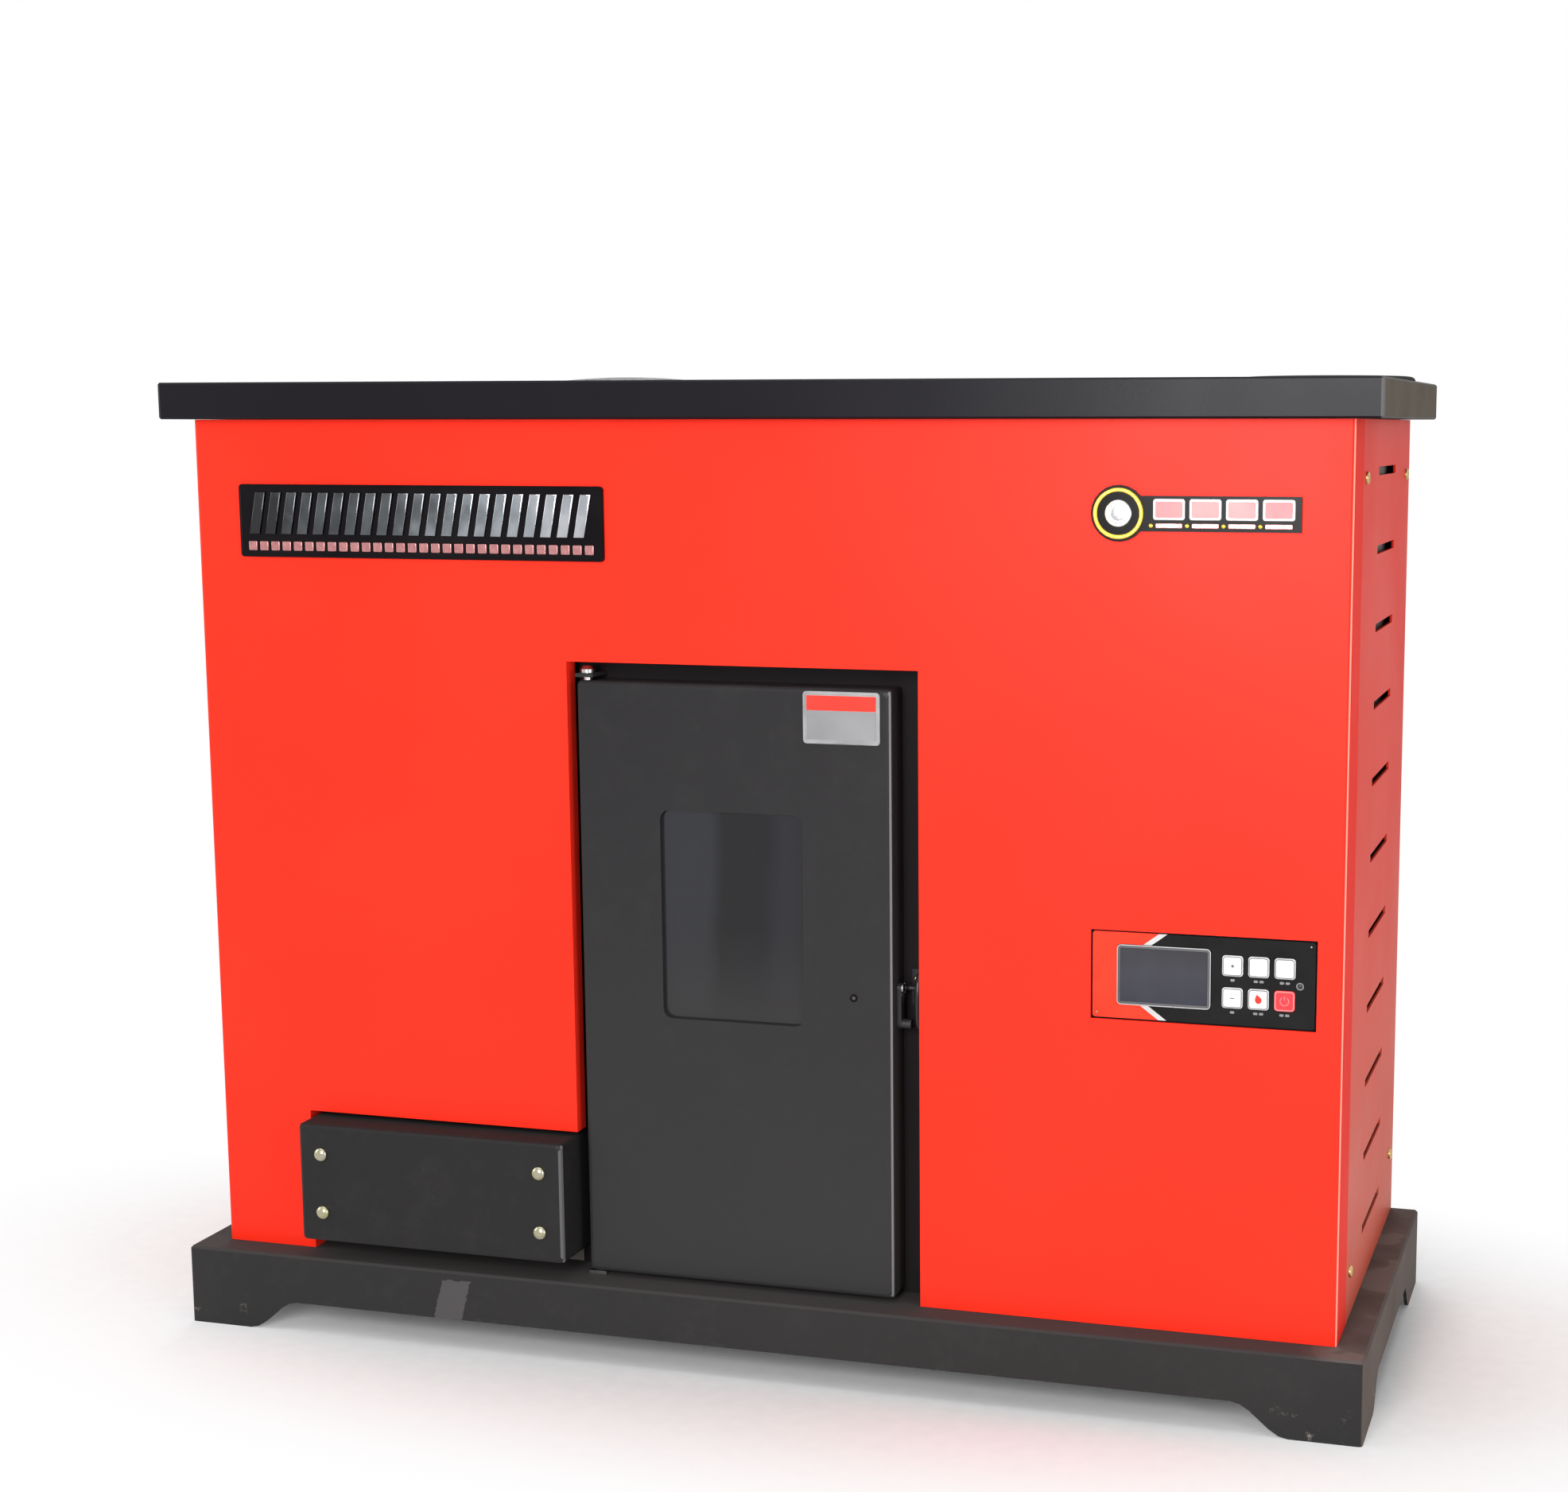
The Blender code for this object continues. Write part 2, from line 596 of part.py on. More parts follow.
def add_slots(bm, side):
    """The stack of level vent slots through one side panel."""
    middle = FRONT + SLOT_FROM_FRONT
    for index in range(SLOT_COUNT):
        height = BASE_TOP + SLOT_LOWEST + SLOT_PITCH * index
        low = (side - 2 * SHEET, middle - SLOT_LENGTH / 2, height - SLOT_HEIGHT / 2)
        high = (side + 2 * SHEET, middle + SLOT_LENGTH / 2, height + SLOT_HEIGHT / 2)
        add_box(bm, low, high)


def build_side_panel(name, outer, inward):
    """A flat sheet with a front flange. inward is +1 where the cabinet's inside lies towards +X."""
    start = FRONT + RETURN_DEPTH + GAP
    inner = outer + inward * SHEET
    outline = [(outer, start), (outer, REAR), (inner, REAR), (inner, start + SHEET),
               (outer + inward * SIDE_FLANGE, start + SHEET), (outer + inward * SIDE_FLANGE, start)]
    panel = solid(name, RED_PAINT, add_prism, outline, "Z", BASE_TOP + GAP, PANEL_TOP - GAP)
    cut(panel, add_slots, outer)


def build_rear_panel():
    side = SHEET + GAP
    front = REAR - REAR_FLANGE
    outline = [(LEFT + side, REAR), (LEFT + side, front), (LEFT + side + SHEET, front),
               (LEFT + side + SHEET, REAR - SHEET), (RIGHT - side - SHEET, REAR - SHEET),
               (RIGHT - side - SHEET, front), (RIGHT - side, front), (RIGHT - side, REAR)]
    panel = solid("rear_panel", GALVANISED, add_prism, outline, "Z", BASE_TOP + GAP, PANEL_TOP - GAP)
    start, end = REAR - 2 * SHEET, REAR + SHEET
    cut(panel, add_rod, "Y", (EXHAUST_X, REAR, EXHAUST_Z), FLUE_RADIUS + GAP, start, end, sides=ROUND_SIDES)
    for height in (FLOW_HEIGHT, RETURN_HEIGHT):
        place = (PIPE_X, REAR, BASE_TOP + height)
        cut(panel, add_rod, "Y", place, PIPE_RADIUS + GAP, start, end, sides=ROUND_SIDES)
    half_width, half_height = INLET_WIDTH / 2 + GAP, INLET_HEIGHT / 2 + GAP
    middle = BASE_TOP + INLET_Z
    cut(panel, add_box, (INLET_X - half_width, start, middle - half_height),
        (INLET_X + half_width, end, middle + half_height))


def build_slab():
    low = (LEFT - SLAB_SIDE_OVERHANG, FRONT - SLAB_FRONT_OVERHANG, PANEL_TOP)
    high = (RIGHT + SLAB_SIDE_OVERHANG, REAR + SLAB_REAR_OVERHANG, SLAB_TOP)
    edge = SLAB_EDGE
    full = rounded_rectangle(low[0], low[1], high[0], high[1], BEND_RADIUS)
    small = rounded_rectangle(low[0] + edge, low[1] + edge, high[0] - edge, high[1] - edge, BEND_RADIUS - edge)
    rings = [in_space(small, "Z", low[2]), in_space(full, "Z", low[2] + edge),
             in_space(full, "Z", high[2] - edge), in_space(small, "Z", high[2])]
    slab = solid("top_slab", BLACK_PAINT, add_loft, rings)
    cut(slab, add_box, (low[0] + SHEET, low[1] + SHEET, low[2] + SHEET),
        (high[0] - SHEET, high[1] - SHEET, high[2] - SHEET))
    cut(slab, add_box, (low[0] + SLAB_LIP, low[1] + SLAB_LIP, low[2] - SHEET),
        (high[0] - SLAB_LIP, high[1] - SLAB_LIP, low[2] + 2 * SHEET))
    neck = HOPPER_NECK_RADIUS
    neck_low = HOPPER_TOP - LID_PLUG_DEPTH
    neck_place = (HOPPER_LID_X, HOPPER_LID_Y, SLAB_TOP)
    join(slab, add_pipe, "Z", neck_place, neck + SHEET, neck - SHEET, neck_low, SLAB_TOP - SHEET / 2)
    cut(slab, add_rod, "Z", neck_place, neck, neck_low - SHEET, SLAB_TOP + SHEET, sides=ROUND_SIDES)
    cut(slab, add_rod, "Z", (STOVE_LID_X, STOVE_LID_Y, SLAB_TOP), STOVE_HOLE_RADIUS,
        low[2], SLAB_TOP + SHEET, sides=ROUND_SIDES)
    join(slab, add_lid_ears)


def add_lid_ears(bm):
    """Two ears on the slab, one each side of the hopper lid's knuckle."""
    for side in (-1, 1):
        near = HOPPER_LID_X + side * (LID_KNUCKLE_LENGTH / 2 + GAP)
        far = near + side * LID_EAR_WIDTH
        low = (min(near, far), LID_HINGE_Y - LID_HINGE_RADIUS, SLAB_TOP - SHEET / 2)
        high = (max(near, far), LID_HINGE_Y + LID_HINGE_RADIUS, LID_HINGE_Z + LID_HINGE_RADIUS - GAP)
        add_box(bm, low, high)


def lid_foot(radius, hole):
    """The lower side of a lid: a plug that drops in the hole and a rim that rests on the slab."""
    plug = hole - LID_CLEARANCE
    return [(0, -LID_PLUG_DEPTH), (plug, -LID_PLUG_DEPTH), (plug, GAP), (radius, GAP)]


def domed_lid(radius, hole, edge, proud):
    """A cast lid that rises in a shallow dome from a low edge."""
    profile = lid_foot(radius, hole)
    for step in range(DOME_STEPS + 1):
        share = step / DOME_STEPS
        profile.append((radius * (1 - share), edge + (proud - edge) * math.sin(share * math.pi / 2)))
    return profile


def flat_lid(radius, hole, proud):
    """A pressed lid with a rolled rim and a low crown."""
    crown = radius - LID_RIM
    shoulder = GAP + proud * 0.8
    return lid_foot(radius, hole) + [(radius, GAP + proud / 2), (radius - SHEET, shoulder),
                                     (crown + SHEET, shoulder), (crown, proud), (0, proud)]


def build_stove_lid():
    place = (STOVE_LID_X, STOVE_LID_Y, SLAB_TOP)
    pivot = make_pivot("stove_lid_lift", place)
    profile = domed_lid(STOVE_LID_RADIUS, STOVE_HOLE_RADIUS, STOVE_LID_EDGE, LID_PROUD)
    solid("stove_lid", CAST_IRON, add_turned, profile, "Z", place, LID_SIDES, pivot=pivot, smooth=True)


def build_hopper_lid():
    pivot = make_pivot("hopper_lid_axis", (HOPPER_LID_X, LID_HINGE_Y, LID_HINGE_Z))
    profile = flat_lid(HOPPER_LID_RADIUS, HOPPER_NECK_RADIUS, HOPPER_LID_PROUD)
    lid = solid("hopper_lid", BLACK_PAINT, add_turned, profile, "Z",
                (HOPPER_LID_X, HOPPER_LID_Y, SLAB_TOP), LID_SIDES, pivot=pivot, smooth=True)
    half = LID_KNUCKLE_LENGTH / 2
    strap_low = (HOPPER_LID_X - half, LID_HINGE_Y - LID_OVERLAP, SLAB_TOP + 2 * GAP)
    strap_high = (HOPPER_LID_X + half, LID_HINGE_Y, SLAB_TOP + 2 * GAP + SHEET)
    join(lid, add_box, strap_low, strap_high)
    axis_point = (HOPPER_LID_X, LID_HINGE_Y, LID_HINGE_Z)
    join(lid, add_rod, "X", axis_point, LID_HINGE_RADIUS - GAP, HOPPER_LID_X - half, HOPPER_LID_X + half)
    bore = LID_PIN_RADIUS + GAP
    cut(lid, add_rod, "X", axis_point, bore, HOPPER_LID_X - 2 * half, HOPPER_LID_X + 2 * half)
    reach = half + GAP + LID_EAR_WIDTH
    cut(bpy.data.objects["top_slab"], add_rod, "X", axis_point, bore, HOPPER_LID_X - 2 * reach,
        HOPPER_LID_X + 2 * reach)
    solid("hopper_lid_pin", ZINC, add_rod, "X", axis_point, LID_PIN_RADIUS, HOPPER_LID_X - reach,
          HOPPER_LID_X + reach, smooth=True)


# Fire door
def door_rings():
    """The door's outer skin, with its front edges rolled over in quarter rounds."""
    low_x, low_z, high_x, high_z = DOOR_LEFT, DOOR_BOTTOM, DOOR_RIGHT, DOOR_TOP
    corner = BEND_RADIUS
    rings = [in_space(rounded_rectangle(low_x, low_z, high_x, high_z, corner, 2), "Y", DOOR_BACK)]
    steps = 3
    for step in range(steps + 1):
        angle = math.radians(90 * step / steps)
        inset = DOOR_EDGE_RADIUS * (1 - math.cos(angle))
        depth = FRONT + DOOR_EDGE_RADIUS * (1 - math.sin(angle))
        box = grown((low_x, low_z, high_x, high_z), -inset)
        rings.append(in_space(rounded_rectangle(*box, corner, 2), "Y", depth))
    return rings


def build_fire_door():
    pivot = make_pivot("fire_door_axis", (HINGE_X, HINGE_Y, (DOOR_BOTTOM + DOOR_TOP) / 2))
    shell = solid("fire_door_shell", BLACK_PAINT, add_loft, door_rings(), pivot=pivot)
    cut(shell, add_box, (DOOR_LEFT + SHEET, FRONT + SHEET, DOOR_BOTTOM + SHEET),
        (DOOR_RIGHT - SHEET, DOOR_BACK + SHEET, DOOR_TOP - SHEET))
    rim = rounded_rectangle(*grown(WINDOW, SHEET), WINDOW_CORNER + SHEET)
    join(shell, add_prism, rim, "Y", FRONT + SHEET / 2, FRONT + WINDOW_RECESS)
    opening = rounded_rectangle(*WINDOW, WINDOW_CORNER)
    cut(shell, add_prism, opening, "Y", FRONT - SHEET, FRONT + 2 * WINDOW_RECESS)
    top_bore = (DOOR_TOP - 2 * SHEET, DOOR_TOP + SHEET)
    bottom_bore = (DOOR_BOTTOM - SHEET, DOOR_BOTTOM + 2 * SHEET)
    for start, end in (top_bore, bottom_bore):
        cut(shell, add_rod, "Z", (HINGE_X, HINGE_Y, start), PIN_RADIUS + GAP, start, end, sides=ROUND_SIDES)
    cut(shell, add_rod, "X", (DOOR_RIGHT, LATCH_Y, LATCH_Z), LATCH_BOLT_RADIUS + GAP,
        DOOR_RIGHT - 2 * SHEET, DOOR_RIGHT + SHEET)

    glass_front = FRONT + WINDOW_RECESS + GAP
    glass_back = glass_front + GLASS_THICKNESS
    glass = rounded_rectangle(*grown(WINDOW, GLASS_OVERLAP), PLATE_CORNER, 2)
    solid("door_glass", GLASS, add_prism, glass, "Y", glass_front, glass_back, pivot=pivot)

    pan_front = DOOR_BACK - PAN_FROM_BACK
    inside = grown((DOOR_LEFT, DOOR_BOTTOM, DOOR_RIGHT, DOOR_TOP), -SHEET - GAP)
    pan = solid("door_inner_pan", BOILER_STEEL, add_box, (inside[0], pan_front, inside[1]),
                (inside[2], pan_front + SHEET, inside[3]), pivot=pivot)
    clamp = grown(WINDOW, GLASS_OVERLAP - SHEET)
    join(pan, add_box, (clamp[0], glass_back + GAP, clamp[1]), (clamp[2], pan_front + SHEET / 2, clamp[3]))
    cut(pan, add_prism, opening, "Y", glass_back, DOOR_BACK)

    edge = SHEET + SEAL_FROM_DOOR_EDGE
    outer = grown((DOOR_LEFT, DOOR_BOTTOM, DOOR_RIGHT, DOOR_TOP), -edge)
    seal_front, seal_back = pan_front + SHEET + GAP, FURNACE_FRONT - GAP
    rings = []
    for margin, depth in ((0, seal_front), (0, seal_back), (-SEAL_WIDTH, seal_back), (-SEAL_WIDTH, seal_front)):
        ring = rounded_rectangle(*grown(outer, margin), SEAL_WIDTH * 1.5 + margin, 3)
        rings.append(in_space(ring, "Y", depth))
    solid("door_rope_seal", ROPE, add_loft, rings, closed=True, pivot=pivot)

    label_right = DOOR_RIGHT - LABEL_FROM_DOOR_RIGHT
    label_top = DOOR_TOP - LABEL_FROM_DOOR_TOP
    label = rounded_rectangle(label_right - LABEL_WIDTH, label_top - LABEL_HEIGHT, label_right, label_top,
                              PLATE_CORNER)
    solid("door_label_plate", SILVER_PLATE, add_prism, label, "Y", FRONT - GAP - LABEL_THICKNESS, FRONT - GAP,
          pivot=pivot)
    build_latch(pivot)


def build_hinge():
    """A bracket and loose pin above the door, and a bracket with a fixed stud below it."""
    low_x, high_x = HINGE_X - BRACKET_WIDTH / 2, HINGE_X + BRACKET_WIDTH / 2
    start, end = HINGE_Y - BRACKET_WIDTH / 2, FURNACE_FRONT - GAP
    bottom = DOOR_TOP + BRACKET_THICKNESS
    upper = solid("hinge_bracket_upper", BLACK_PAINT, add_box, (low_x, start, bottom),
                  (high_x, end, bottom + BRACKET_THICKNESS))
    axis_point = (HINGE_X, HINGE_Y, bottom)
    cut(upper, add_rod, "Z", axis_point, PIN_RADIUS + GAP, bottom - SHEET, bottom + 2 * BRACKET_THICKNESS,
        sides=ROUND_SIDES)
    head = bottom + BRACKET_THICKNESS + GAP
    tip = DOOR_TOP - PIN_ENGAGEMENT
    head_radius = PIN_RADIUS * 1.6
    profile = [(0, tip), (PIN_RADIUS, tip), (PIN_RADIUS, head), (head_radius, head),
               (head_radius, head + PIN_HEAD_HEIGHT / 2), (PIN_RADIUS, head + PIN_HEAD_HEIGHT),
               (0, head + PIN_HEAD_HEIGHT)]
    solid("hinge_pin_upper", ZINC, add_turned, profile, "Z", (HINGE_X, HINGE_Y, 0), ROUND_SIDES, smooth=True)
    base = BASE_TOP + GAP
    lower = solid("hinge_bracket_lower", ZINC, add_box, (low_x, start, base),
                  (high_x, end, base + BRACKET_THICKNESS))
    join(lower, add_rod, "Z", (HINGE_X, HINGE_Y, base), PIN_RADIUS, base + BRACKET_THICKNESS / 2,
         DOOR_BOTTOM + PIN_ENGAGEMENT, sides=ROUND_SIDES)


def latch_outline():
    """The latch plate from its side: a round head on the bolt, a handle bar down and an arm to the rear."""
    half = LATCH_HALF_WIDTH
    outline = arc(LATCH_Y, LATCH_Z, half, 0, 180, 6)
    outline += arc(LATCH_Y, LATCH_Z - LATCH_LENGTH, half, 180, 360, 6)
    arm_top = LATCH_Z - KEEPER_PIN_DROP - KEEPER_PIN_RADIUS - 2 * GAP
    outline += [(LATCH_Y + half, LATCH_Z - LATCH_ARM_DEPTH - SHEET),
                (LATCH_Y + LATCH_ARM, LATCH_Z - LATCH_ARM_DEPTH),
                (LATCH_Y + LATCH_ARM, arm_top), (LATCH_Y + half, arm_top)]
    return outline


def build_latch(door_pivot):
    pivot = make_pivot("latch_axis", (DOOR_RIGHT, LATCH_Y, LATCH_Z), door_pivot)
    start = DOOR_RIGHT + GAP
    end = start + LATCH_THICKNESS
    axis_point = (DOOR_RIGHT, LATCH_Y, LATCH_Z)
    handle = solid("latch_handle", BLACK_PAINT, add_prism, latch_outline(), "X", start, end, pivot=pivot)
    knob = (DOOR_RIGHT, LATCH_Y, LATCH_Z - LATCH_LENGTH)
    join(handle, add_rod, "X", knob, LATCH_HALF_WIDTH - GAP, end - SHEET, end + 2 * LATCH_THICKNESS)
    cut(handle, add_rod, "X", axis_point, LATCH_BOLT_RADIUS + GAP, start - SHEET, end + SHEET)
    head = end + GAP
    inner = DOOR_RIGHT - 2 * SHEET
    profile = [(0, inner), (LATCH_BOLT_RADIUS, inner), (LATCH_BOLT_RADIUS, head), (LATCH_HALF_WIDTH, head),
               (LATCH_HALF_WIDTH, head + SHEET / 2), (LATCH_BOLT_RADIUS, head + SHEET), (0, head + SHEET)]
    solid("latch_pivot_bolt", ZINC, add_turned, profile, "X", (0, LATCH_Y, LATCH_Z), ROUND_SIDES,
          pivot=door_pivot, smooth=True)


def build_keeper():
    """An angle on the furnace front whose pin the latch's arm passes under."""
    pin_y, pin_z = LATCH_Y + KEEPER_PIN_AHEAD, LATCH_Z - KEEPER_PIN_DROP
    leg = DOOR_RIGHT + KEEPER_FROM_DOOR
    back = FURNACE_FRONT - GAP
    half = LATCH_LENGTH / 2
    outline = [(leg - 2 * LATCH_THICKNESS, back - SHEET), (leg, back - SHEET), (leg, pin_y - LATCH_HALF_WIDTH),
               (leg + SHEET, pin_y - LATCH_HALF_WIDTH), (leg + SHEET, back), (leg - 2 * LATCH_THICKNESS, back)]
    keeper = solid("latch_keeper", ZINC, add_prism, outline, "Z", pin_z - half, pin_z + half)
    join(keeper, add_rod, "X", (leg, pin_y, pin_z), KEEPER_PIN_RADIUS, DOOR_RIGHT + 2 * GAP, leg + SHEET / 2)


# Clean-out cover and its bolts
def bolt_places():
    """Where the cover's bolts sit, as (x, z)."""
    columns = (COVER_LEFT + BOLT_INSET, COVER_RIGHT - BOLT_INSET)
    rows = (BASE_TOP + COVER_BOTTOM + BOLT_RISE, COVER_TOP - BOLT_RISE)
    return [(x, z) for x in columns for z in rows]


def build_clean_out_cover():
    low_z = BASE_TOP + COVER_BOTTOM
    back = FURNACE_FRONT - GAP
    skin = (COVER_LEFT, low_z, COVER_RIGHT, COVER_TOP)
    edge = BEND_RADIUS
    rings = [in_space(rounded_rectangle(*skin, edge, 2), "Y", back),
             in_space(rounded_rectangle(*skin, edge, 2), "Y", COVER_FRONT + edge),
             in_space(rounded_rectangle(*grown(skin, -edge * 0.3), edge, 2), "Y", COVER_FRONT + edge * 0.3),
             in_space(rounded_rectangle(*grown(skin, -edge), edge, 2), "Y", COVER_FRONT)]
    cover = solid("ash_cover_box", BLACK_PAINT, add_loft, rings)
    inner = grown(skin, -SHEET)
    cut(cover, add_box, (inner[0], COVER_FRONT + SHEET, inner[1]), (inner[2], back + SHEET, inner[3]))
    for index, (x, z) in enumerate(bolt_places(), start=1):
        cut(cover, add_rod, "Y", (x, 0, z), BOLT_RADIUS + GAP, COVER_FRONT - SHEET, COVER_FRONT + 2 * SHEET)
        head = COVER_FRONT - GAP
        tip = FURNACE_FRONT + PLATE
        radius, height = BOLT_HEAD_RADIUS, BOLT_HEAD_HEIGHT
        profile = [(0, head - height), (radius * 0.6, head - height), (radius * 0.9, head - height * 0.7),
                   (radius, head - SHEET / 4), (radius, head), (BOLT_RADIUS, head), (BOLT_RADIUS, tip),
                   (0, tip)]
        solid(f"ash_cover_bolt_{index}", ZINC, add_turned, profile, "Y", (x, 0, z), 16, smooth=True)


# Furnace
def build_furnace():
    plate = solid("furnace_front_plate", BLACK_PAINT, add_box,
                  (FURNACE_LEFT, FURNACE_FRONT, BASE_TOP + GAP),
                  (FURNACE_RIGHT, FURNACE_FRONT + PLATE, FURNACE_TOP))
    cut(plate, add_box, (MOUTH[0], FURNACE_FRONT - PLATE, MOUTH[1]), (MOUTH[2], SHELL_FRONT + PLATE, MOUTH[3]))

    jacket = solid("water_jacket_shell", BOILER_STEEL, add_box,
                   (FURNACE_LEFT, SHELL_FRONT, BASE_TOP + GAP), (FURNACE_RIGHT, FURNACE_REAR, FURNACE_TOP))
    cut(jacket, add_box, (FURNACE_LEFT + PLATE, SHELL_FRONT - PLATE, BASE_TOP + PLATE),
        (FURNACE_RIGHT - PLATE, FURNACE_REAR - PLATE, FURNACE_TOP - PLATE))
    firebox = solid("firebox_shell", BOILER_STEEL, add_box,
                    (FIREBOX_LEFT, SHELL_FRONT, FIREBOX_BOTTOM), (FIREBOX_RIGHT, FIREBOX_REAR, FIREBOX_TOP))
    cut(firebox, add_box, (FIREBOX_LEFT + PLATE, SHELL_FRONT - PLATE, FIREBOX_BOTTOM + PLATE),
        (FIREBOX_RIGHT - PLATE, FIREBOX_REAR - PLATE, FIREBOX_TOP - PLATE))

    for shell, rear in ((jacket, FURNACE_REAR), (firebox, FIREBOX_REAR)):
        start, end = rear - 2 * PLATE, rear + PLATE
        cut(shell, add_rod, "Y", (POT_X, rear, igniter_height()), IGNITER_RADIUS + GAP, start, end)
        cut(shell, add_rod, "Y", (BURNER_FAN_X, rear, BURNER_FAN_Z), BURNER_DUCT_RADIUS + GAP, start, end,
            sides=ROUND_SIDES)
    for height in (FLOW_HEIGHT, RETURN_HEIGHT):
        place = (PIPE_X, FURNACE_REAR, BASE_TOP + height)
        cut(jacket, add_rod, "Y", place, PIPE_RADIUS + GAP, FURNACE_REAR - 2 * PLATE, FURNACE_REAR + PLATE,
            sides=ROUND_SIDES)
    for shell, side in ((jacket, FURNACE_RIGHT), (firebox, FIREBOX_RIGHT)):
        cut(shell, add_rod, "X", (side, AUGER_Y, AUGER_Z), AUGER_TUBE_RADIUS + GAP, side - 2 * PLATE,
            side + PLATE, sides=ROUND_SIDES)
    for shell, side in ((jacket, FURNACE_LEFT), (firebox, FIREBOX_LEFT)):
        cut(shell, add_box, *duct_box(side - PLATE, side + 2 * PLATE, GAP))

    shelf_edge = 2 * GAP
    shelf = solid("burner_shelf", CAST_IRON, add_box,
                  (FIREBOX_LEFT + PLATE + shelf_edge, SHELL_FRONT + PLATE, SHELF_Z),
                  (FIREBOX_RIGHT - PLATE - shelf_edge, FIREBOX_REAR - PLATE - shelf_edge, SHELF_Z + PLATE))
    cut(shelf, add_rod, "Z", (POT_X, POT_Y, SHELF_Z), POT_RADIUS + GAP, SHELF_Z - PLATE, SHELF_Z + 2 * PLATE,
        sides=ROUND_SIDES)
    baffle_z = BASE_TOP + BAFFLE_HEIGHT
    solid("baffle_plate", CAST_IRON, add_box,
          (FIREBOX_LEFT + PLATE + shelf_edge, SHELL_FRONT + BAFFLE_FROM_FRONT, baffle_z),
          (FIREBOX_RIGHT - PLATE - shelf_edge, FIREBOX_REAR - PLATE - shelf_edge, baffle_z + PLATE))
    build_burner_pot()
    build_ash_drawer()
    duct_low, duct_high = duct_box(EXCHANGER_RIGHT - PLATE, FIREBOX_LEFT + PLATE, 0)
    duct = solid("gas_duct", BOILER_STEEL, add_box, duct_low, duct_high)
    cut(duct, add_box, *duct_box(EXCHANGER_RIGHT - 2 * PLATE, FIREBOX_LEFT + 2 * PLATE, -SHEET))


def duct_box(start, end, margin):
    """The smoke duct's box from the firebox to the exchanger, grown across by a margin."""
    middle_y = (FURNACE_FRONT + FURNACE_REAR) / 2
    middle_z = BASE_TOP + DUCT_Z
    half_y, half_z = DUCT_WIDTH / 2 + margin, DUCT_HEIGHT / 2 + margin
    return (start, middle_y - half_y, middle_z - half_z), (end, middle_y + half_y, middle_z + half_z)


def igniter_height():
    return SHELF_Z + PLATE + POT_RISE / 2


def build_burner_pot():
    wall = PLATE
    seat = SHELF_Z + PLATE + GAP
    floor = SHELF_Z - POT_DROP
    rim = SHELF_Z + POT_RISE
    outer = POT_RADIUS
    profile = [(0, floor), (outer, floor), (outer, seat), (outer + POT_FLANGE, seat),
               (outer + POT_FLANGE, seat + wall), (outer, seat + wall), (outer, rim), (outer - wall, rim),
               (outer - wall, floor + wall), (0, floor + wall)]
    pot = solid("burner_pot", CAST_IRON, add_turned, profile, "Z", (POT_X, POT_Y, 0), ROUND_SIDES, smooth=True)
    cut(pot, add_pot_holes, floor - wall, floor + 2 * wall)
    solid("igniter", ZINC, add_rod, "Y", (POT_X, 0, igniter_height()), IGNITER_RADIUS, POT_Y + outer + 2 * GAP,
          FURNACE_REAR + 3 * PLATE, smooth=True)


def add_pot_holes(bm, start, end):
    """A ring of ash holes in the pot's floor."""
    holes = 6
    for index in range(holes):
        angle = 2 * math.pi * index / holes
        centre = (POT_X + POT_RADIUS / 2 * math.cos(angle), POT_Y + POT_RADIUS / 2 * math.sin(angle), start)
        add_rod(bm, "Z", centre, IGNITER_RADIUS, start, end, sides=8)


def build_ash_drawer():
    low = (MOUTH[0] + DRAWER_SIDE_CLEARANCE, FURNACE_FRONT + PLATE, BASE_TOP + FIREBOX_FLOOR + GAP)
    high = (MOUTH[2] - DRAWER_SIDE_CLEARANCE, FIREBOX_REAR - 2 * PLATE, low[2] + DRAWER_HEIGHT)
    drawer = solid("ash_drawer", GALVANISED, add_box, low, high)
    cut(drawer, add_box, (low[0] + SHEET, low[1] + SHEET, low[2] + SHEET),
        (high[0] - SHEET, high[1] - SHEET, high[2] + SHEET))


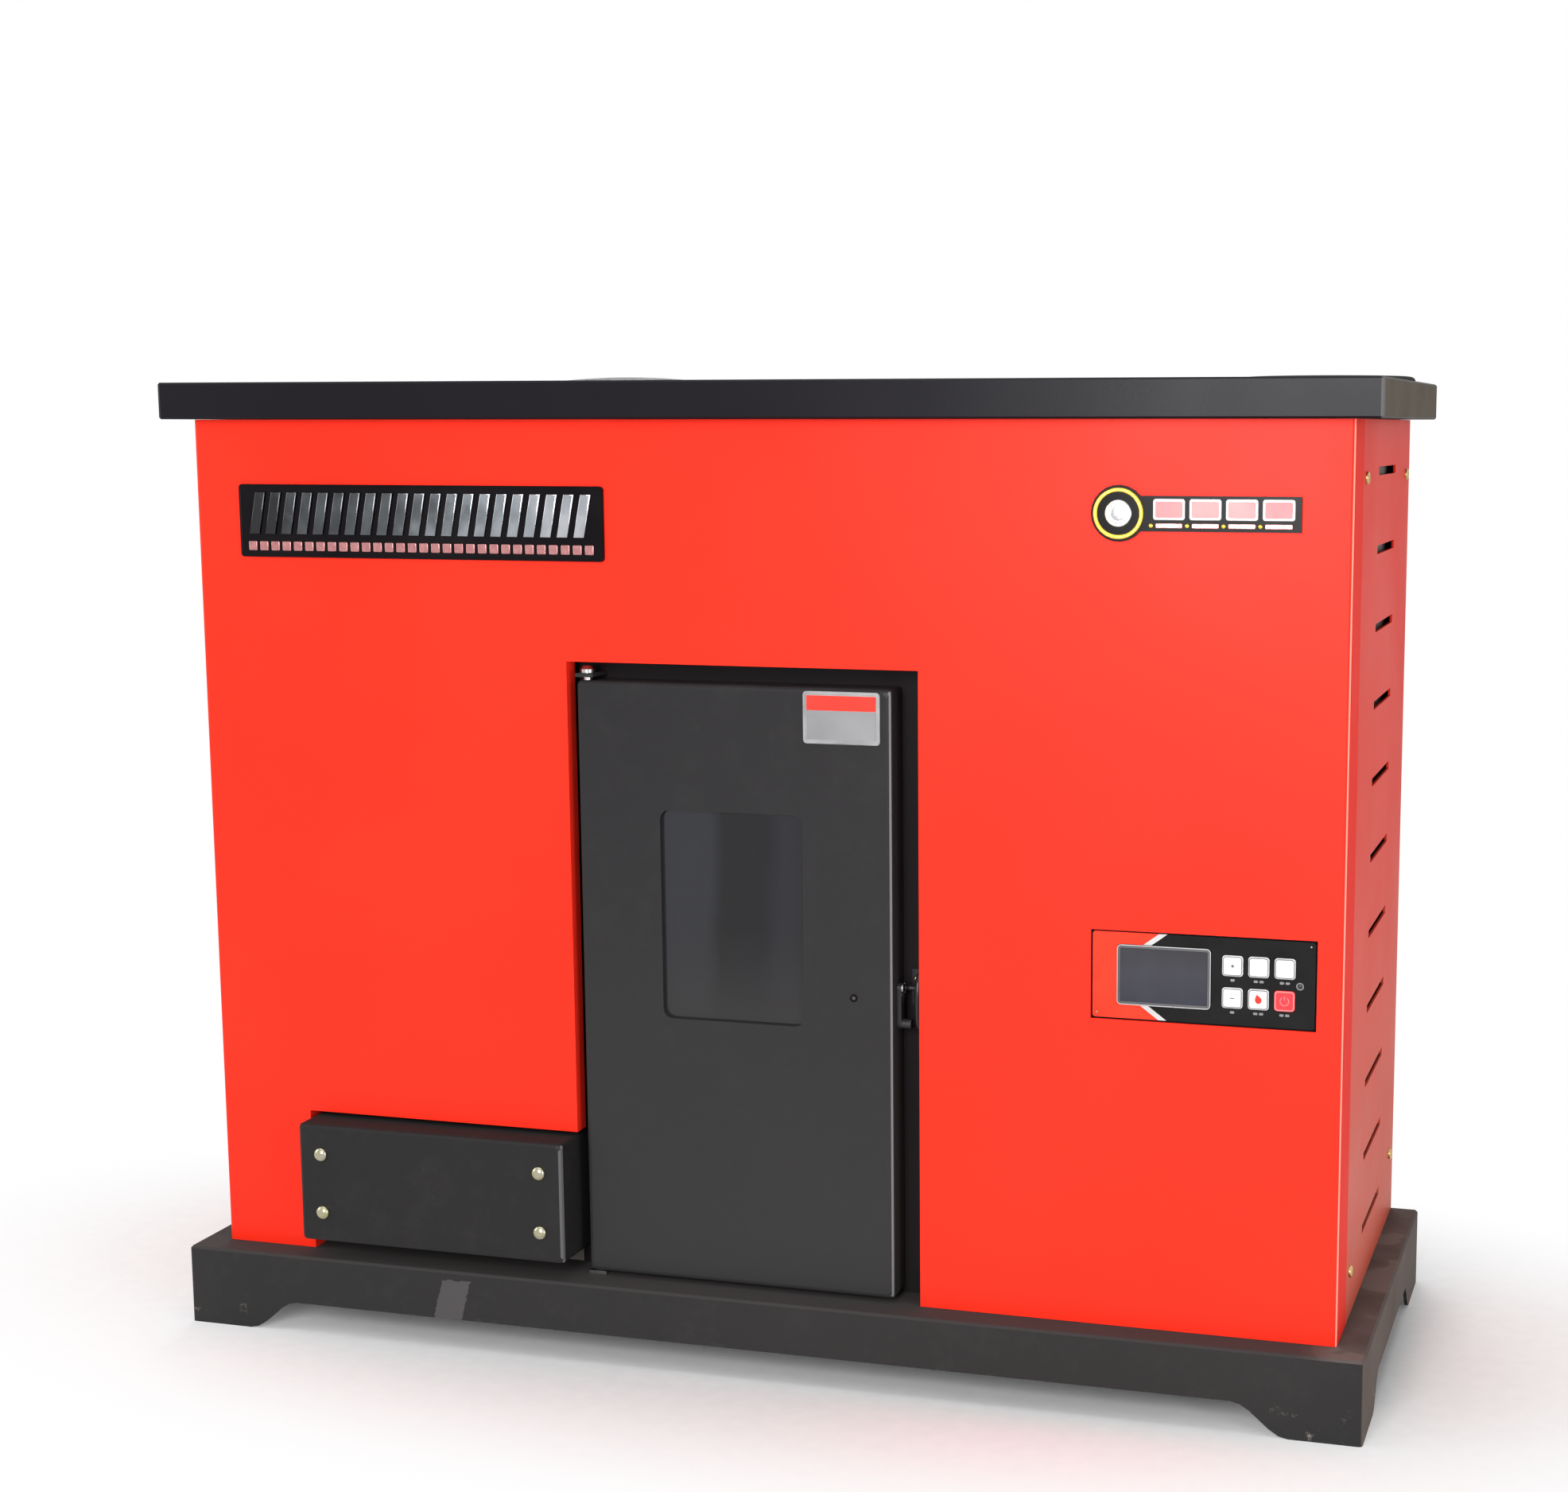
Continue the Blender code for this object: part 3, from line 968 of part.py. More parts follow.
# Heat exchanger
def build_exchanger():
    low = (EXCHANGER_LEFT, FURNACE_FRONT, BASE_TOP + GAP)
    high = (EXCHANGER_RIGHT, FURNACE_REAR, BASE_TOP + EXCHANGER_HEIGHT)
    body = solid("exchanger_body", BOILER_STEEL, add_box, low, high)
    cut(body, add_box, tuple(c + PLATE for c in low), tuple(c - PLATE for c in high))
    mouth = (COVER_LEFT + 2 * BOLT_INSET, BASE_TOP + 2 * PLATE + COVER_BOTTOM,
             COVER_RIGHT - 2 * BOLT_INSET, COVER_TOP - 2 * PLATE)
    cut(body, add_box, (mouth[0], FURNACE_FRONT - PLATE, mouth[1]),
        (mouth[2], FURNACE_FRONT + 2 * PLATE, mouth[3]))
    for x, z in bolt_places():
        cut(body, add_rod, "Y", (x, 0, z), BOLT_RADIUS + GAP, FURNACE_FRONT - PLATE, FURNACE_FRONT + 2 * PLATE)
    cut(body, add_rod, "Y", (EXHAUST_X, 0, EXHAUST_Z), EXHAUST_FAN_RADIUS / 2, FURNACE_REAR - 2 * PLATE,
        FURNACE_REAR + PLATE, sides=ROUND_SIDES)
    cut(body, add_box, *duct_box(EXCHANGER_RIGHT - 2 * PLATE, EXCHANGER_RIGHT + PLATE, GAP))

    inside = PLATE + 2 * GAP
    low_sheet = BASE_TOP + TUBE_SHEET_LOW
    high_sheet = BASE_TOP + TUBE_SHEET_HIGH
    bundle = solid("tube_bundle", BOILER_STEEL, add_box, (low[0] + inside, low[1] + inside, low_sheet),
                   (high[0] - inside, high[1] - inside, low_sheet + PLATE))
    join(bundle, add_box, (low[0] + inside, low[1] + inside, high_sheet),
         (high[0] - inside, high[1] - inside, high_sheet + PLATE))
    tubes = tube_places(low, high)
    join(bundle, add_rods_up, tubes, TUBE_RADIUS, low_sheet + PLATE / 2, high_sheet + PLATE / 2)
    cut(bundle, add_rods_up, tubes, TUBE_RADIUS - TUBE_WALL, low_sheet - PLATE, high_sheet + 2 * PLATE)


def tube_places(low, high):
    """The middles of the smoke tubes, evenly spread over the exchanger's plan."""
    places = []
    for column in range(TUBE_COLUMNS):
        for row in range(TUBE_ROWS):
            x = low[0] + (high[0] - low[0]) * (column + 0.5) / TUBE_COLUMNS
            y = low[1] + (high[1] - low[1]) * (row + 0.5) / TUBE_ROWS
            places.append((x, y))
    return places


def add_rods_up(bm, places, radius, start, end):
    for x, y in places:
        add_rod(bm, "Z", (x, y, start), radius, start, end)


# Fuel feed
def rectangle_ring(low_x, low_y, high_x, high_y, height):
    return [(low_x, low_y, height), (high_x, low_y, height), (high_x, high_y, height), (low_x, high_y, height)]


def build_hopper():
    front, rear = FRONT + HOPPER_FRONT_SPACE, REAR - HOPPER_REAR_SPACE
    shoulder = BASE_TOP + HOPPER_SHOULDER
    neck = AUGER_Z + AUGER_TUBE_RADIUS + GAP
    half = HOPPER_OUTLET / 2
    rings = []
    outlet_left, outlet_right = HOPPER_OUTLET_X - half, HOPPER_OUTLET_X + half
    for inset in (0, HOPPER_WALL):
        levels = [
            rectangle_ring(outlet_left + inset, AUGER_Y - half + inset, outlet_right - inset,
                           AUGER_Y + half - inset, neck),
            rectangle_ring(HOPPER_LEFT + inset, front + inset, HOPPER_RIGHT - inset, rear - inset, shoulder),
            rectangle_ring(HOPPER_LEFT + inset, front + inset, HOPPER_RIGHT - inset, rear - inset, HOPPER_TOP)]
        rings += levels if inset == 0 else list(reversed(levels))
    solid("hopper", GALVANISED, add_loft, rings, closed=True)


def build_feed():
    axis_point = (AUGER_START, AUGER_Y, AUGER_Z)
    inner = AUGER_TUBE_RADIUS - SHEET
    tube = solid("auger_tube", BOILER_STEEL, add_pipe, "X", axis_point, AUGER_TUBE_RADIUS, inner,
                 AUGER_START, AUGER_END, smooth=True)
    half = HOPPER_OUTLET / 2 - HOPPER_WALL
    cut(tube, add_box, (HOPPER_OUTLET_X - half, AUGER_Y - half, AUGER_Z + AUGER_TUBE_RADIUS / 2),
        (HOPPER_OUTLET_X + half, AUGER_Y + half, AUGER_Z + 2 * AUGER_TUBE_RADIUS))

    pivot = make_pivot("auger_axis", axis_point)
    motor_left = AUGER_END + GAP
    shaft_end = motor_left + MOTOR_SIZE / 2
    screw = solid("auger_screw", BOILER_STEEL, add_rod, "X", axis_point, AUGER_SHAFT_RADIUS,
                  AUGER_START + SHEET, shaft_end, pivot=pivot)
    join(screw, add_flight, AUGER_START + 2 * SHEET, AUGER_END - 2 * SHEET)

    half_motor = MOTOR_SIZE / 2
    motor = solid("auger_motor", GALVANISED, add_box,
                  (motor_left, AUGER_Y - half_motor, AUGER_Z - half_motor),
                  (motor_left + MOTOR_SIZE, AUGER_Y + half_motor, AUGER_Z + half_motor))
    cut(motor, add_rod, "X", axis_point, AUGER_SHAFT_RADIUS + GAP, motor_left - SHEET, shaft_end + GAP)


def add_flight(bm, start, end):
    """The auger's helical flight, a thin blade whose foot is sunk in the shaft."""
    steps_per_turn = 10
    phase = math.radians(7)
    steps = int(round((end - start - SHEET) / AUGER_PITCH * steps_per_turn))
    foot, tip = AUGER_SHAFT_RADIUS * 0.7, AUGER_FLIGHT_RADIUS
    rings = []
    for step in range(steps + 1):
        angle = phase + 2 * math.pi * step / steps_per_turn
        along = start + AUGER_PITCH * step / steps_per_turn
        ring = []
        for radius, offset in ((foot, 0), (tip, 0), (tip, SHEET), (foot, SHEET)):
            ring.append((along + offset, AUGER_Y + radius * math.cos(angle),
                         AUGER_Z + radius * math.sin(angle)))
        rings.append(ring)
    add_loft(bm, rings)


# Fans
def build_fan(name, centre_x, centre_z, radius, inlet, duct_start=None):
    """A drum fan behind the boiler: a round hole or duct in its front wall and a spoked rear wall."""
    start, end = FURNACE_REAR + GAP, REAR - SHEET - GAP
    axis_point = (centre_x, start, centre_z)
    shaft = FAN_SHAFT_RADIUS
    bore = shaft + GAP
    nose = [(inlet, start)] if duct_start is None else [
        (inlet, duct_start), (inlet + FAN_WALL, duct_start), (inlet + FAN_WALL, start)]
    profile = nose + [(radius, start), (radius, end), (bore, end), (bore, end - FAN_WALL),
                      (radius - FAN_WALL, end - FAN_WALL), (radius - FAN_WALL, start + FAN_WALL),
                      (inlet, start + FAN_WALL)]
    housing = solid(f"{name}_housing", GALVANISED, add_turned, profile, "Y", (centre_x, 0, centre_z),
                    ROUND_SIDES, closed=True, smooth=True)
    cut(housing, add_fan_windows, centre_x, centre_z, radius, end)

    pivot = make_pivot(f"{name}_axis", axis_point)
    rotor_start = start + FAN_WALL + FAN_CLEARANCE
    rotor_end = end - FAN_WALL - FAN_CLEARANCE
    rotor_radius = radius - FAN_WALL - FAN_CLEARANCE
    disc = rotor_end - FAN_WALL
    profile = [(0, disc), (rotor_radius, disc), (rotor_radius, rotor_end), (shaft, rotor_end), (shaft, end),
               (0, end)]
    rotor = solid(f"{name}_rotor", GALVANISED, add_turned, profile, "Y", (centre_x, 0, centre_z), ROUND_SIDES,
                  pivot=pivot)
    join(rotor, add_blades, centre_x, centre_z, rotor_radius, rotor_start, disc + FAN_WALL / 2)


def add_fan_windows(bm, centre_x, centre_z, radius, end):
    """Four sector windows in the rear wall, which leave a hub and four spokes."""
    inner, outer = radius * 0.25, min(radius * 0.7, FLUE_RADIUS - 2 * FAN_WALL)
    for quarter in range(4):
        first, last = 90 * quarter + 12, 90 * quarter + 78
        outline = arc(centre_x, centre_z, outer, first, last, 5)
        outline += arc(centre_x, centre_z, inner, last, first, 3)
        add_prism(bm, outline, "Y", end - 2 * FAN_WALL, end + FAN_WALL)


def add_blades(bm, centre_x, centre_z, radius, start, end):
    """Radial blades, each a thin plate that stands on the rotor's disc."""
    half = 0.0006
    for index in range(ROTOR_BLADES):
        angle = 2 * math.pi * index / ROTOR_BLADES
        out_x, out_z = math.cos(angle), math.sin(angle)
        outline = []
        for reach, side in ((0.55, -half), (0.96, -half), (0.96, half), (0.55, half)):
            outline.append((centre_x + radius * reach * out_x - side * out_z,
                            centre_z + radius * reach * out_z + side * out_x))
        add_prism(bm, outline, "Y", start, end)


def build_fans():
    build_fan("exhaust_fan", EXHAUST_X, EXHAUST_Z, EXHAUST_FAN_RADIUS, EXHAUST_FAN_RADIUS / 2)
    build_fan("burner_fan", BURNER_FAN_X, BURNER_FAN_Z, BURNER_FAN_RADIUS, BURNER_DUCT_RADIUS - FAN_WALL,
              FIREBOX_REAR - 3 * PLATE)
    solid("flue_collar", GALVANISED, add_pipe, "Y", (EXHAUST_X, 0, EXHAUST_Z), FLUE_RADIUS,
          FLUE_RADIUS - FAN_WALL, REAR - SHEET, REAR + FLUE_REACH, smooth=True)


# Pipes and power inlet
def build_services():
    for name, height in (("water_flow_stub", FLOW_HEIGHT), ("water_return_stub", RETURN_HEIGHT)):
        solid(name, ZINC, add_pipe, "Y", (PIPE_X, 0, BASE_TOP + height), PIPE_RADIUS, PIPE_RADIUS - PIPE_WALL,
              FURNACE_REAR - 2 * PLATE, REAR + PIPE_REACH, smooth=True)
    middle = BASE_TOP + INLET_Z
    half_width, half_height = INLET_WIDTH / 2, INLET_HEIGHT / 2
    inlet = solid("power_inlet", GLOSS_BLACK, add_box,
                  (INLET_X - half_width, REAR - INLET_DEPTH, middle - half_height),
                  (INLET_X + half_width, REAR + SHEET / 2, middle + half_height))
    half_socket = half_width - INLET_WALL
    cut(inlet, add_box, (INLET_X - half_socket, REAR - INLET_SOCKET_DEPTH, middle - half_height / 2),
        (INLET_X + half_socket, REAR + SHEET, middle + half_height / 2))


# Controller
def key_box(column, row):
    middle_x = CONTROLLER_LEFT + KEY_FROM_LEFT + KEY_PITCH_X * column
    middle_z = CONTROLLER_BOTTOM + KEY_ROW_Z + KEY_PITCH_Z * row
    half = KEY_SIZE / 2
    return (middle_x - half, middle_z - half, middle_x + half, middle_z + half)


def add_key_holes(bm, start, end):
    for row, names in enumerate(KEY_NAMES):
        for column in range(len(names)):
            add_prism(bm, rounded_rectangle(*grown(key_box(column, row), GAP), KEY_CORNER), "Y", start, end)


def build_controller():
    face_box = (CONTROLLER_LEFT, CONTROLLER_BOTTOM, CONTROLLER_LEFT + CONTROLLER_WIDTH,
                CONTROLLER_BOTTOM + CONTROLLER_HEIGHT)
    face_back = FACE_FRONT + FACE_THICKNESS
    face = solid("controller_face", GLOSS_BLACK, add_prism, rounded_rectangle(*face_box, SHEET, 2), "Y",
                 FACE_FRONT, face_back)
    cut(face, add_key_holes, FACE_FRONT - SHEET, face_back + SHEET)
    lens_left, lens_bottom = CONTROLLER_LEFT + LENS_LEFT, CONTROLLER_BOTTOM + LENS_BOTTOM
    lens_box = (lens_left, lens_bottom, lens_left + LENS_WIDTH, lens_bottom + LENS_HEIGHT)
    cut(face, add_prism, rounded_rectangle(*grown(lens_box, GAP), PLATE_CORNER), "Y", FACE_FRONT - SHEET,
        face_back + SHEET)
    solid("display_lens", GLASS, add_prism, rounded_rectangle(*lens_box, PLATE_CORNER), "Y",
          FACE_FRONT - SHEET / 4, face_back)

    for row, names in enumerate(KEY_NAMES):
        for column, name in enumerate(names):
            build_key(name, key_box(column, row))

    housing_front = FRONT + SHEET + GAP
    body = grown(face_box, CONTROLLER_CLEARANCE + 2 * SHEET)
    housing = solid("controller_housing", GLOSS_BLACK, add_box, (body[0], housing_front, body[1]),
                    (body[2], FRONT + CONTROLLER_DEPTH, body[3]))
    seat = grown(face_box, GAP)
    cut(housing, add_box, (seat[0], housing_front - SHEET, seat[1]), (seat[2], face_back + GAP, seat[3]))
    inner = grown(face_box, -SHEET)
    cut(housing, add_box, (inner[0], housing_front - SHEET, inner[1]),
        (inner[2], FRONT + CONTROLLER_DEPTH - SHEET, inner[3]))


def build_key(name, box):
    material = RED_KEY if name == "key_power" else WHITE_KEY
    crown = 0.0006
    front = FACE_FRONT - KEY_PROUD
    back = FACE_FRONT + FACE_THICKNESS
    pivot = make_pivot(f"{name}_axis", ((box[0] + box[2]) / 2, front, (box[1] + box[3]) / 2))
    rings = [in_space(rounded_rectangle(*box, KEY_CORNER), "Y", back),
             in_space(rounded_rectangle(*box, KEY_CORNER), "Y", front + crown),
             in_space(rounded_rectangle(*grown(box, -crown), KEY_CORNER), "Y", front)]
    solid(name, material, add_loft, rings, pivot=pivot)


# Plates on the front panel
def build_plates():
    left, bottom = LEFT + NAMEPLATE_FROM_LEFT, BASE_TOP + NAMEPLATE_Z
    outline = rounded_rectangle(left, bottom, left + NAMEPLATE_WIDTH, bottom + NAMEPLATE_HEIGHT, PLATE_CORNER)
    back = FRONT - GAP
    solid("nameplate", GLOSS_BLACK, add_prism, outline, "Y", back - NAMEPLATE_THICKNESS, back)
    right, bottom = RIGHT - BADGE_FROM_RIGHT, BASE_TOP + BADGE_Z
    left = right - BADGE_WIDTH
    radius = BADGE_HEIGHT / 2
    half_bar = radius * 0.62
    lift = math.degrees(math.asin(half_bar / radius))
    middle = bottom + radius
    outline = arc(left + radius, middle, radius, lift, 360 - lift, 18)
    outline += [(right, middle - half_bar), (right, middle + half_bar)]
    solid("badge", GLOSS_BLACK, add_prism, outline, "Y", back - NAMEPLATE_THICKNESS, back)


build_plinth()
build_front_panel()
build_side_panel("side_panel_left", LEFT, 1)
build_side_panel("side_panel_right", RIGHT, -1)
build_rear_panel()
build_slab()
build_stove_lid()
build_hopper_lid()
build_fire_door()
build_hinge()
build_keeper()
build_clean_out_cover()
build_furnace()
build_exchanger()
build_hopper()
build_feed()
build_fans()
build_services()
build_controller()
build_plates()
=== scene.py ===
"""Looks of the boiler stove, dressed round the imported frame. Metres, +Z up, the front faces -Y."""

import json
import math
import random

import bmesh
import bpy
from mathutils import Matrix, Vector


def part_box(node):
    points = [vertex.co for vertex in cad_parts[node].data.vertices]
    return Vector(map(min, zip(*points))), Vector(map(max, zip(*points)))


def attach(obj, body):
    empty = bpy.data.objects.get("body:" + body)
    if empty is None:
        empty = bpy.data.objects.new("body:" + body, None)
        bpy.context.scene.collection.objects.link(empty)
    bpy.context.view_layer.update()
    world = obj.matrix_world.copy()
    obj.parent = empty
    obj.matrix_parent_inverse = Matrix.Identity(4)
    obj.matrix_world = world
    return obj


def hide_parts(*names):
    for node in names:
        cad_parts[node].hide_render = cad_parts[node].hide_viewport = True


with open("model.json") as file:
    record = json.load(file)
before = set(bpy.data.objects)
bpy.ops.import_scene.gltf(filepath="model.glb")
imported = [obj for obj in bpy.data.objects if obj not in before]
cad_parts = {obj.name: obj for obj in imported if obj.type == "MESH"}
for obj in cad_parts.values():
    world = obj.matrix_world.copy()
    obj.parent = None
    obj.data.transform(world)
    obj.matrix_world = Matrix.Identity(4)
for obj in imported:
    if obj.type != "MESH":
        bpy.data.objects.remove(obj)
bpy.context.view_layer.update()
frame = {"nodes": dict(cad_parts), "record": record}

# The photograph's view, as solved from the cabinet's right angles
CAMERA_PLACE = (0.744, -2.1084, 0.796)
CAMERA_PITCH = 81.61
CAMERA_YAW = 15.66
CAMERA_LENS = 57.35
CAMERA_SHIFT = (-0.1278, 0.0319)

# Where the cabinet's faces stand
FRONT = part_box("front_panel")[0].y
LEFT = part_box("front_panel")[0].x
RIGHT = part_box("front_panel")[1].x
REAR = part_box("rear_panel")[1].y
BASE_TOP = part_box("base_plinth")[1].z
SLAB_TOP = 0.834

# Directions in which a flat piece may face
TO_FRONT = Matrix.Rotation(math.radians(90), 4, "X")
TO_REAR = Matrix.Rotation(math.radians(180), 4, "Z") @ TO_FRONT
TO_RIGHT = Matrix.Rotation(math.radians(90), 4, "Z") @ TO_FRONT
TO_LEFT = Matrix.Rotation(math.radians(-90), 4, "Z") @ TO_FRONT
TO_TOP = Matrix.Identity(4)

WHITE = (1.0, 1.0, 1.0, 1.0)
KEYS = ("key_plus", "key_menu", "key_timer", "key_minus", "key_flame", "key_power")
COVER_BOLTS = ("ash_cover_bolt_1", "ash_cover_bolt_2", "ash_cover_bolt_3", "ash_cover_bolt_4")
WATER_STUBS = ("water_flow_stub", "water_return_stub")


# Camera and light
def add_camera():
    data = bpy.data.cameras.new("camera")
    data.lens = CAMERA_LENS
    data.sensor_width = 36.0
    data.shift_x, data.shift_y = CAMERA_SHIFT
    data.clip_start, data.clip_end = 0.05, 50.0
    camera = bpy.data.objects.new("camera", data)
    camera.location = CAMERA_PLACE
    camera.rotation_euler = (math.radians(CAMERA_PITCH), 0.0, math.radians(CAMERA_YAW))
    bpy.context.collection.objects.link(camera)
    bpy.context.scene.camera = camera


def add_area_light(name, place, target, size, power):
    data = bpy.data.lights.new(name, "AREA")
    data.shape = "RECTANGLE"
    data.size, data.size_y = size
    data.energy = power
    light = bpy.data.objects.new(name, data)
    light.location = place
    light.rotation_euler = (Vector(target) - Vector(place)).to_track_quat("-Z", "Y").to_euler()
    bpy.context.collection.objects.link(light)


def add_lights():
    """A tall soft window in front, a narrow strip at the right, and weak light on the back and top."""
    middle = (0.0, 0.0, 0.4)
    add_area_light("front_light", (0.15, -3.3, 1.35), (0.0, 0.0, 0.55), (1.1, 1.7), 84)
    add_area_light("right_light", (2.4, -1.9, 0.55), middle, (0.45, 1.5), 20)
    add_area_light("left_light", (-2.6, -1.2, 1.2), middle, (0.8, 1.6), 12)
    add_area_light("rear_light", (-0.8, 3.0, 2.2), middle, (2.2, 1.6), 45)
    add_area_light("top_light", (0.0, -0.2, 3.2), middle, (2.5, 2.0), 26)


# Node trees
class Tree:
    """A node tree, with short ways to add a node and hand back its output."""

    def __init__(self, owner):
        owner.use_nodes = True
        self.nodes = owner.node_tree.nodes
        self.links = owner.node_tree.links

    def add(self, kind, **inputs):
        """A node whose named inputs are set to a value, or linked where a socket is given."""
        node = self.nodes.new(f"ShaderNode{kind}")
        for name, value in inputs.items():
            self.feed(node.inputs[name.replace("_", " ")], value)
        return node

    def feed(self, socket, value):
        if isinstance(value, bpy.types.NodeSocket):
            self.links.new(value, socket)
        else:
            socket.default_value = value

    def math(self, operation, first, second):
        node = self.nodes.new("ShaderNodeMath")
        node.operation = operation
        self.feed(node.inputs[0], first)
        self.feed(node.inputs[1], second)
        return node.outputs["Value"]

    def times(self, first, second):
        return self.math("MULTIPLY", first, second)

    def less(self, first, second):
        return self.math("SUBTRACT", first, second)

    def place(self):
        """Where a point is, in object space, so that what is painted stays with the piece."""
        return self.add("TexCoord").outputs["Object"]

    def axis(self, axis, source="Object"):
        """A point's place along an axis, or with the source Normal the share of its face's direction."""
        return self.add("SeparateXYZ", Vector=self.add("TexCoord").outputs[source]).outputs[axis]

    def share(self, value, low, high):
        """0 to 1 as the value goes from low to high."""
        return self.math("DIVIDE", self.less(value, low), high - low)

    def noise(self, scale, detail=4.0, roughness=0.5, stretch=(1.0, 1.0, 1.0)):
        spread = self.add("Mapping", Vector=self.place(), Scale=stretch)
        return self.add("TexNoise", Vector=spread.outputs["Vector"], Scale=scale, Detail=detail,
                        Roughness=roughness).outputs["Fac"]

    def ramp(self, factor, *stops):
        """A colour ramp from (position, grey or colour) stops."""
        ramp = self.add("ValToRGB", Fac=factor)
        elements = ramp.color_ramp.elements
        while len(elements) < len(stops):
            elements.new(0.5)
        for element, (position, value) in zip(elements, stops):
            element.position = position
            element.color = (value, value, value, 1.0) if isinstance(value, float) else (*value, 1.0)
        return ramp.outputs["Color"]

    def mix(self, factor, first, second):
        """Mixes two colours. second may be a socket or a plain colour."""
        if isinstance(second, tuple):
            second = (*second, 1.0)
        return self.add("MixRGB", Fac=factor, Color1=first, Color2=second).outputs["Color"]

    def facing_mask(self, axis):
        """1 on faces that look along the axis either way, 0 on the others."""
        return self.ramp(self.math("ABSOLUTE", self.axis(axis, "Normal"), 0.0), (0.50, 0.0), (0.95, 1.0))

    def sides(self):
        """1 on faces that look neither forward nor back."""
        return self.less(1.0, self.facing_mask("Y"))

    def background_rays(self):
        """1 for the rays that should meet the plain white background: the camera's, and clear reflections."""
        path = self.add("LightPath").outputs
        return self.math("MAXIMUM", path["Is Camera Ray"],
                         self.math("MAXIMUM", path["Is Glossy Ray"], path["Is Transmission Ray"]))

    def blend_shaders(self, factor, first, second, output):
        mix = self.nodes.new("ShaderNodeMixShader")
        for socket, value in zip(mix.inputs, (factor, first, second)):
            self.links.new(value, socket)
        self.links.new(mix.outputs["Shader"], output.inputs["Surface"])


class Paint(Tree):
    """A material round one Principled shader, whose inputs are set by name."""

    def __init__(self, name):
        self.material = bpy.data.materials.new(name)
        super().__init__(self.material)
        self.shader = self.nodes["Principled BSDF"]

    def set(self, **inputs):
        for name, value in inputs.items():
            self.feed(self.shader.inputs[name.replace("_", " ")], value)

    def coat(self, colour, rough, specular=0.5):
        self.set(Base_Color=colour, Roughness=rough, Specular_IOR_Level=specular)

    def bump(self, height, strength, distance):
        bump = self.add("Bump", Height=height, Strength=strength, Distance=distance)
        self.set(Normal=bump.outputs["Normal"])

    def peel(self, strength=0.10):
        """The fine orange peel of powder coat."""
        self.bump(self.noise(420.0, 2.0), strength, 0.0004)

    def drift(self, first, second):
        """Two near tones of one paint that pass slowly into each other."""
        return self.ramp(self.noise(3.0, 3.0), (0.3, first), (0.7, second))

    def patchy(self, smooth, rough):
        """Roughness in wide, faint patches."""
        return self.ramp(self.noise(7.0, 5.0), (0.3, smooth), (0.7, rough))

    def dulled(self, rough, mask, extra):
        """Roughness with an extra part of it where the mask is 1."""
        return self.math("ADD", rough, self.times(mask, extra))

    def painted_edge_highlight(self, base, colour, share, start=0.55):
        """A painted highlight: lighter colour on rolled edges that look both forward and right."""
        corner = self.times(self.axis("X", "Normal"), self.times(self.axis("Y", "Normal"), -2.0))
        return self.mix(self.ramp(corner, (start, 0.0), (start + 0.37, share)), base, colour)

    def wander(self, noise, reach):
        """A small shift either way, to make an edge uneven."""
        return self.times(self.less(noise, 0.5), reach)


# Surroundings
def set_world():
    """Soft white light from all round. The camera and clear reflections see it as plain white."""
    world = bpy.data.worlds.new("studio")
    bpy.context.scene.world = world
    tree = Tree(world)
    tree.nodes.clear()
    light = tree.add("Background", Color=WHITE, Strength=0.40)
    seen = tree.add("Background", Color=WHITE, Strength=1.0)
    tree.blend_shaders(tree.background_rays(), light.outputs["Background"], seen.outputs["Background"],
                       tree.add("OutputWorld"))


def add_floor():
    """Pale paper floor. Close to the stove it shows the shadow, and further off it is plain white."""
    paint = Paint("paper_floor")
    paint.coat(paint.ramp(paint.noise(60.0, 3.0), (0.3, 0.84), (0.7, 0.88)), 0.95, 0.1)
    white = paint.add("Emission", Color=WHITE)
    squeeze = paint.add("Mapping", Vector=paint.place(), Scale=(0.6, 1.2, 1.0))
    distance = paint.nodes.new("ShaderNodeVectorMath")
    distance.operation = "LENGTH"
    paint.feed(distance.inputs[0], squeeze.outputs["Vector"])
    fade = paint.add("MapRange", Value=distance.outputs["Value"], From_Min=0.28, From_Max=0.61)
    fade.interpolation_type = "SMOOTHSTEP"
    seen = paint.times(fade.outputs["Result"], paint.background_rays())
    paint.blend_shaders(seen, paint.shader.outputs["BSDF"], white.outputs["Emission"],
                        paint.nodes["Material Output"])

    half = 8.0
    bm = bmesh.new()
    bm.faces.new([bm.verts.new(point) for point in at_height(rectangle(-half, -half, half, half), 0)])
    floor = make_object("floor", bm)
    floor.data.materials.append(paint.material)


# Finishes that are alike all over
def painted_metal(paint, colour, shade, roughness, specular, side_dulling=0.0, edge_highlight=None, lightened=False,
                  foot=None):
    """Powder coat: fine orange peel, slow colour drift, and faint patches of rougher, dustier paint.

    side_dulling is the roughness added on faces that look neither forward nor back, the argument after it is
    the colour of a painted highlight on rolled edges that look forward and right, and foot is a paler tone
    painted towards the floor as painted light.
    """
    base = paint.drift(colour, shade)
    if lightened:
        specks = paint.ramp(paint.noise(30.0, 9.0, 0.75), (0.50, 0.0), (0.85, 0.12))
        base = paint.mix(specks, base, (0.09, 0.088, 0.085))
    # Painted light: the paint is made paler towards the floor.
    if foot:
        base = paint.mix(paint.ramp(paint.axis("Z"), (0.05, 1.0), (0.60, 0.0)), base, foot)
    # Painted highlight on rolled edges that look forward and right.
    if edge_highlight:
        base = paint.painted_edge_highlight(base, edge_highlight, 0.9)
    rough = paint.patchy(roughness - 0.03, roughness + 0.05)
    paint.coat(base, paint.dulled(rough, paint.sides(), side_dulling), specular)
    paint.peel()


def black_coat(paint, colour, shade, foot=None):
    # The pale grey is the colour of a painted highlight on rolled front-right edges.
    painted_metal(paint, colour, shade, 0.32, 0.14, 0.5, (0.21, 0.21, 0.22), True, foot)


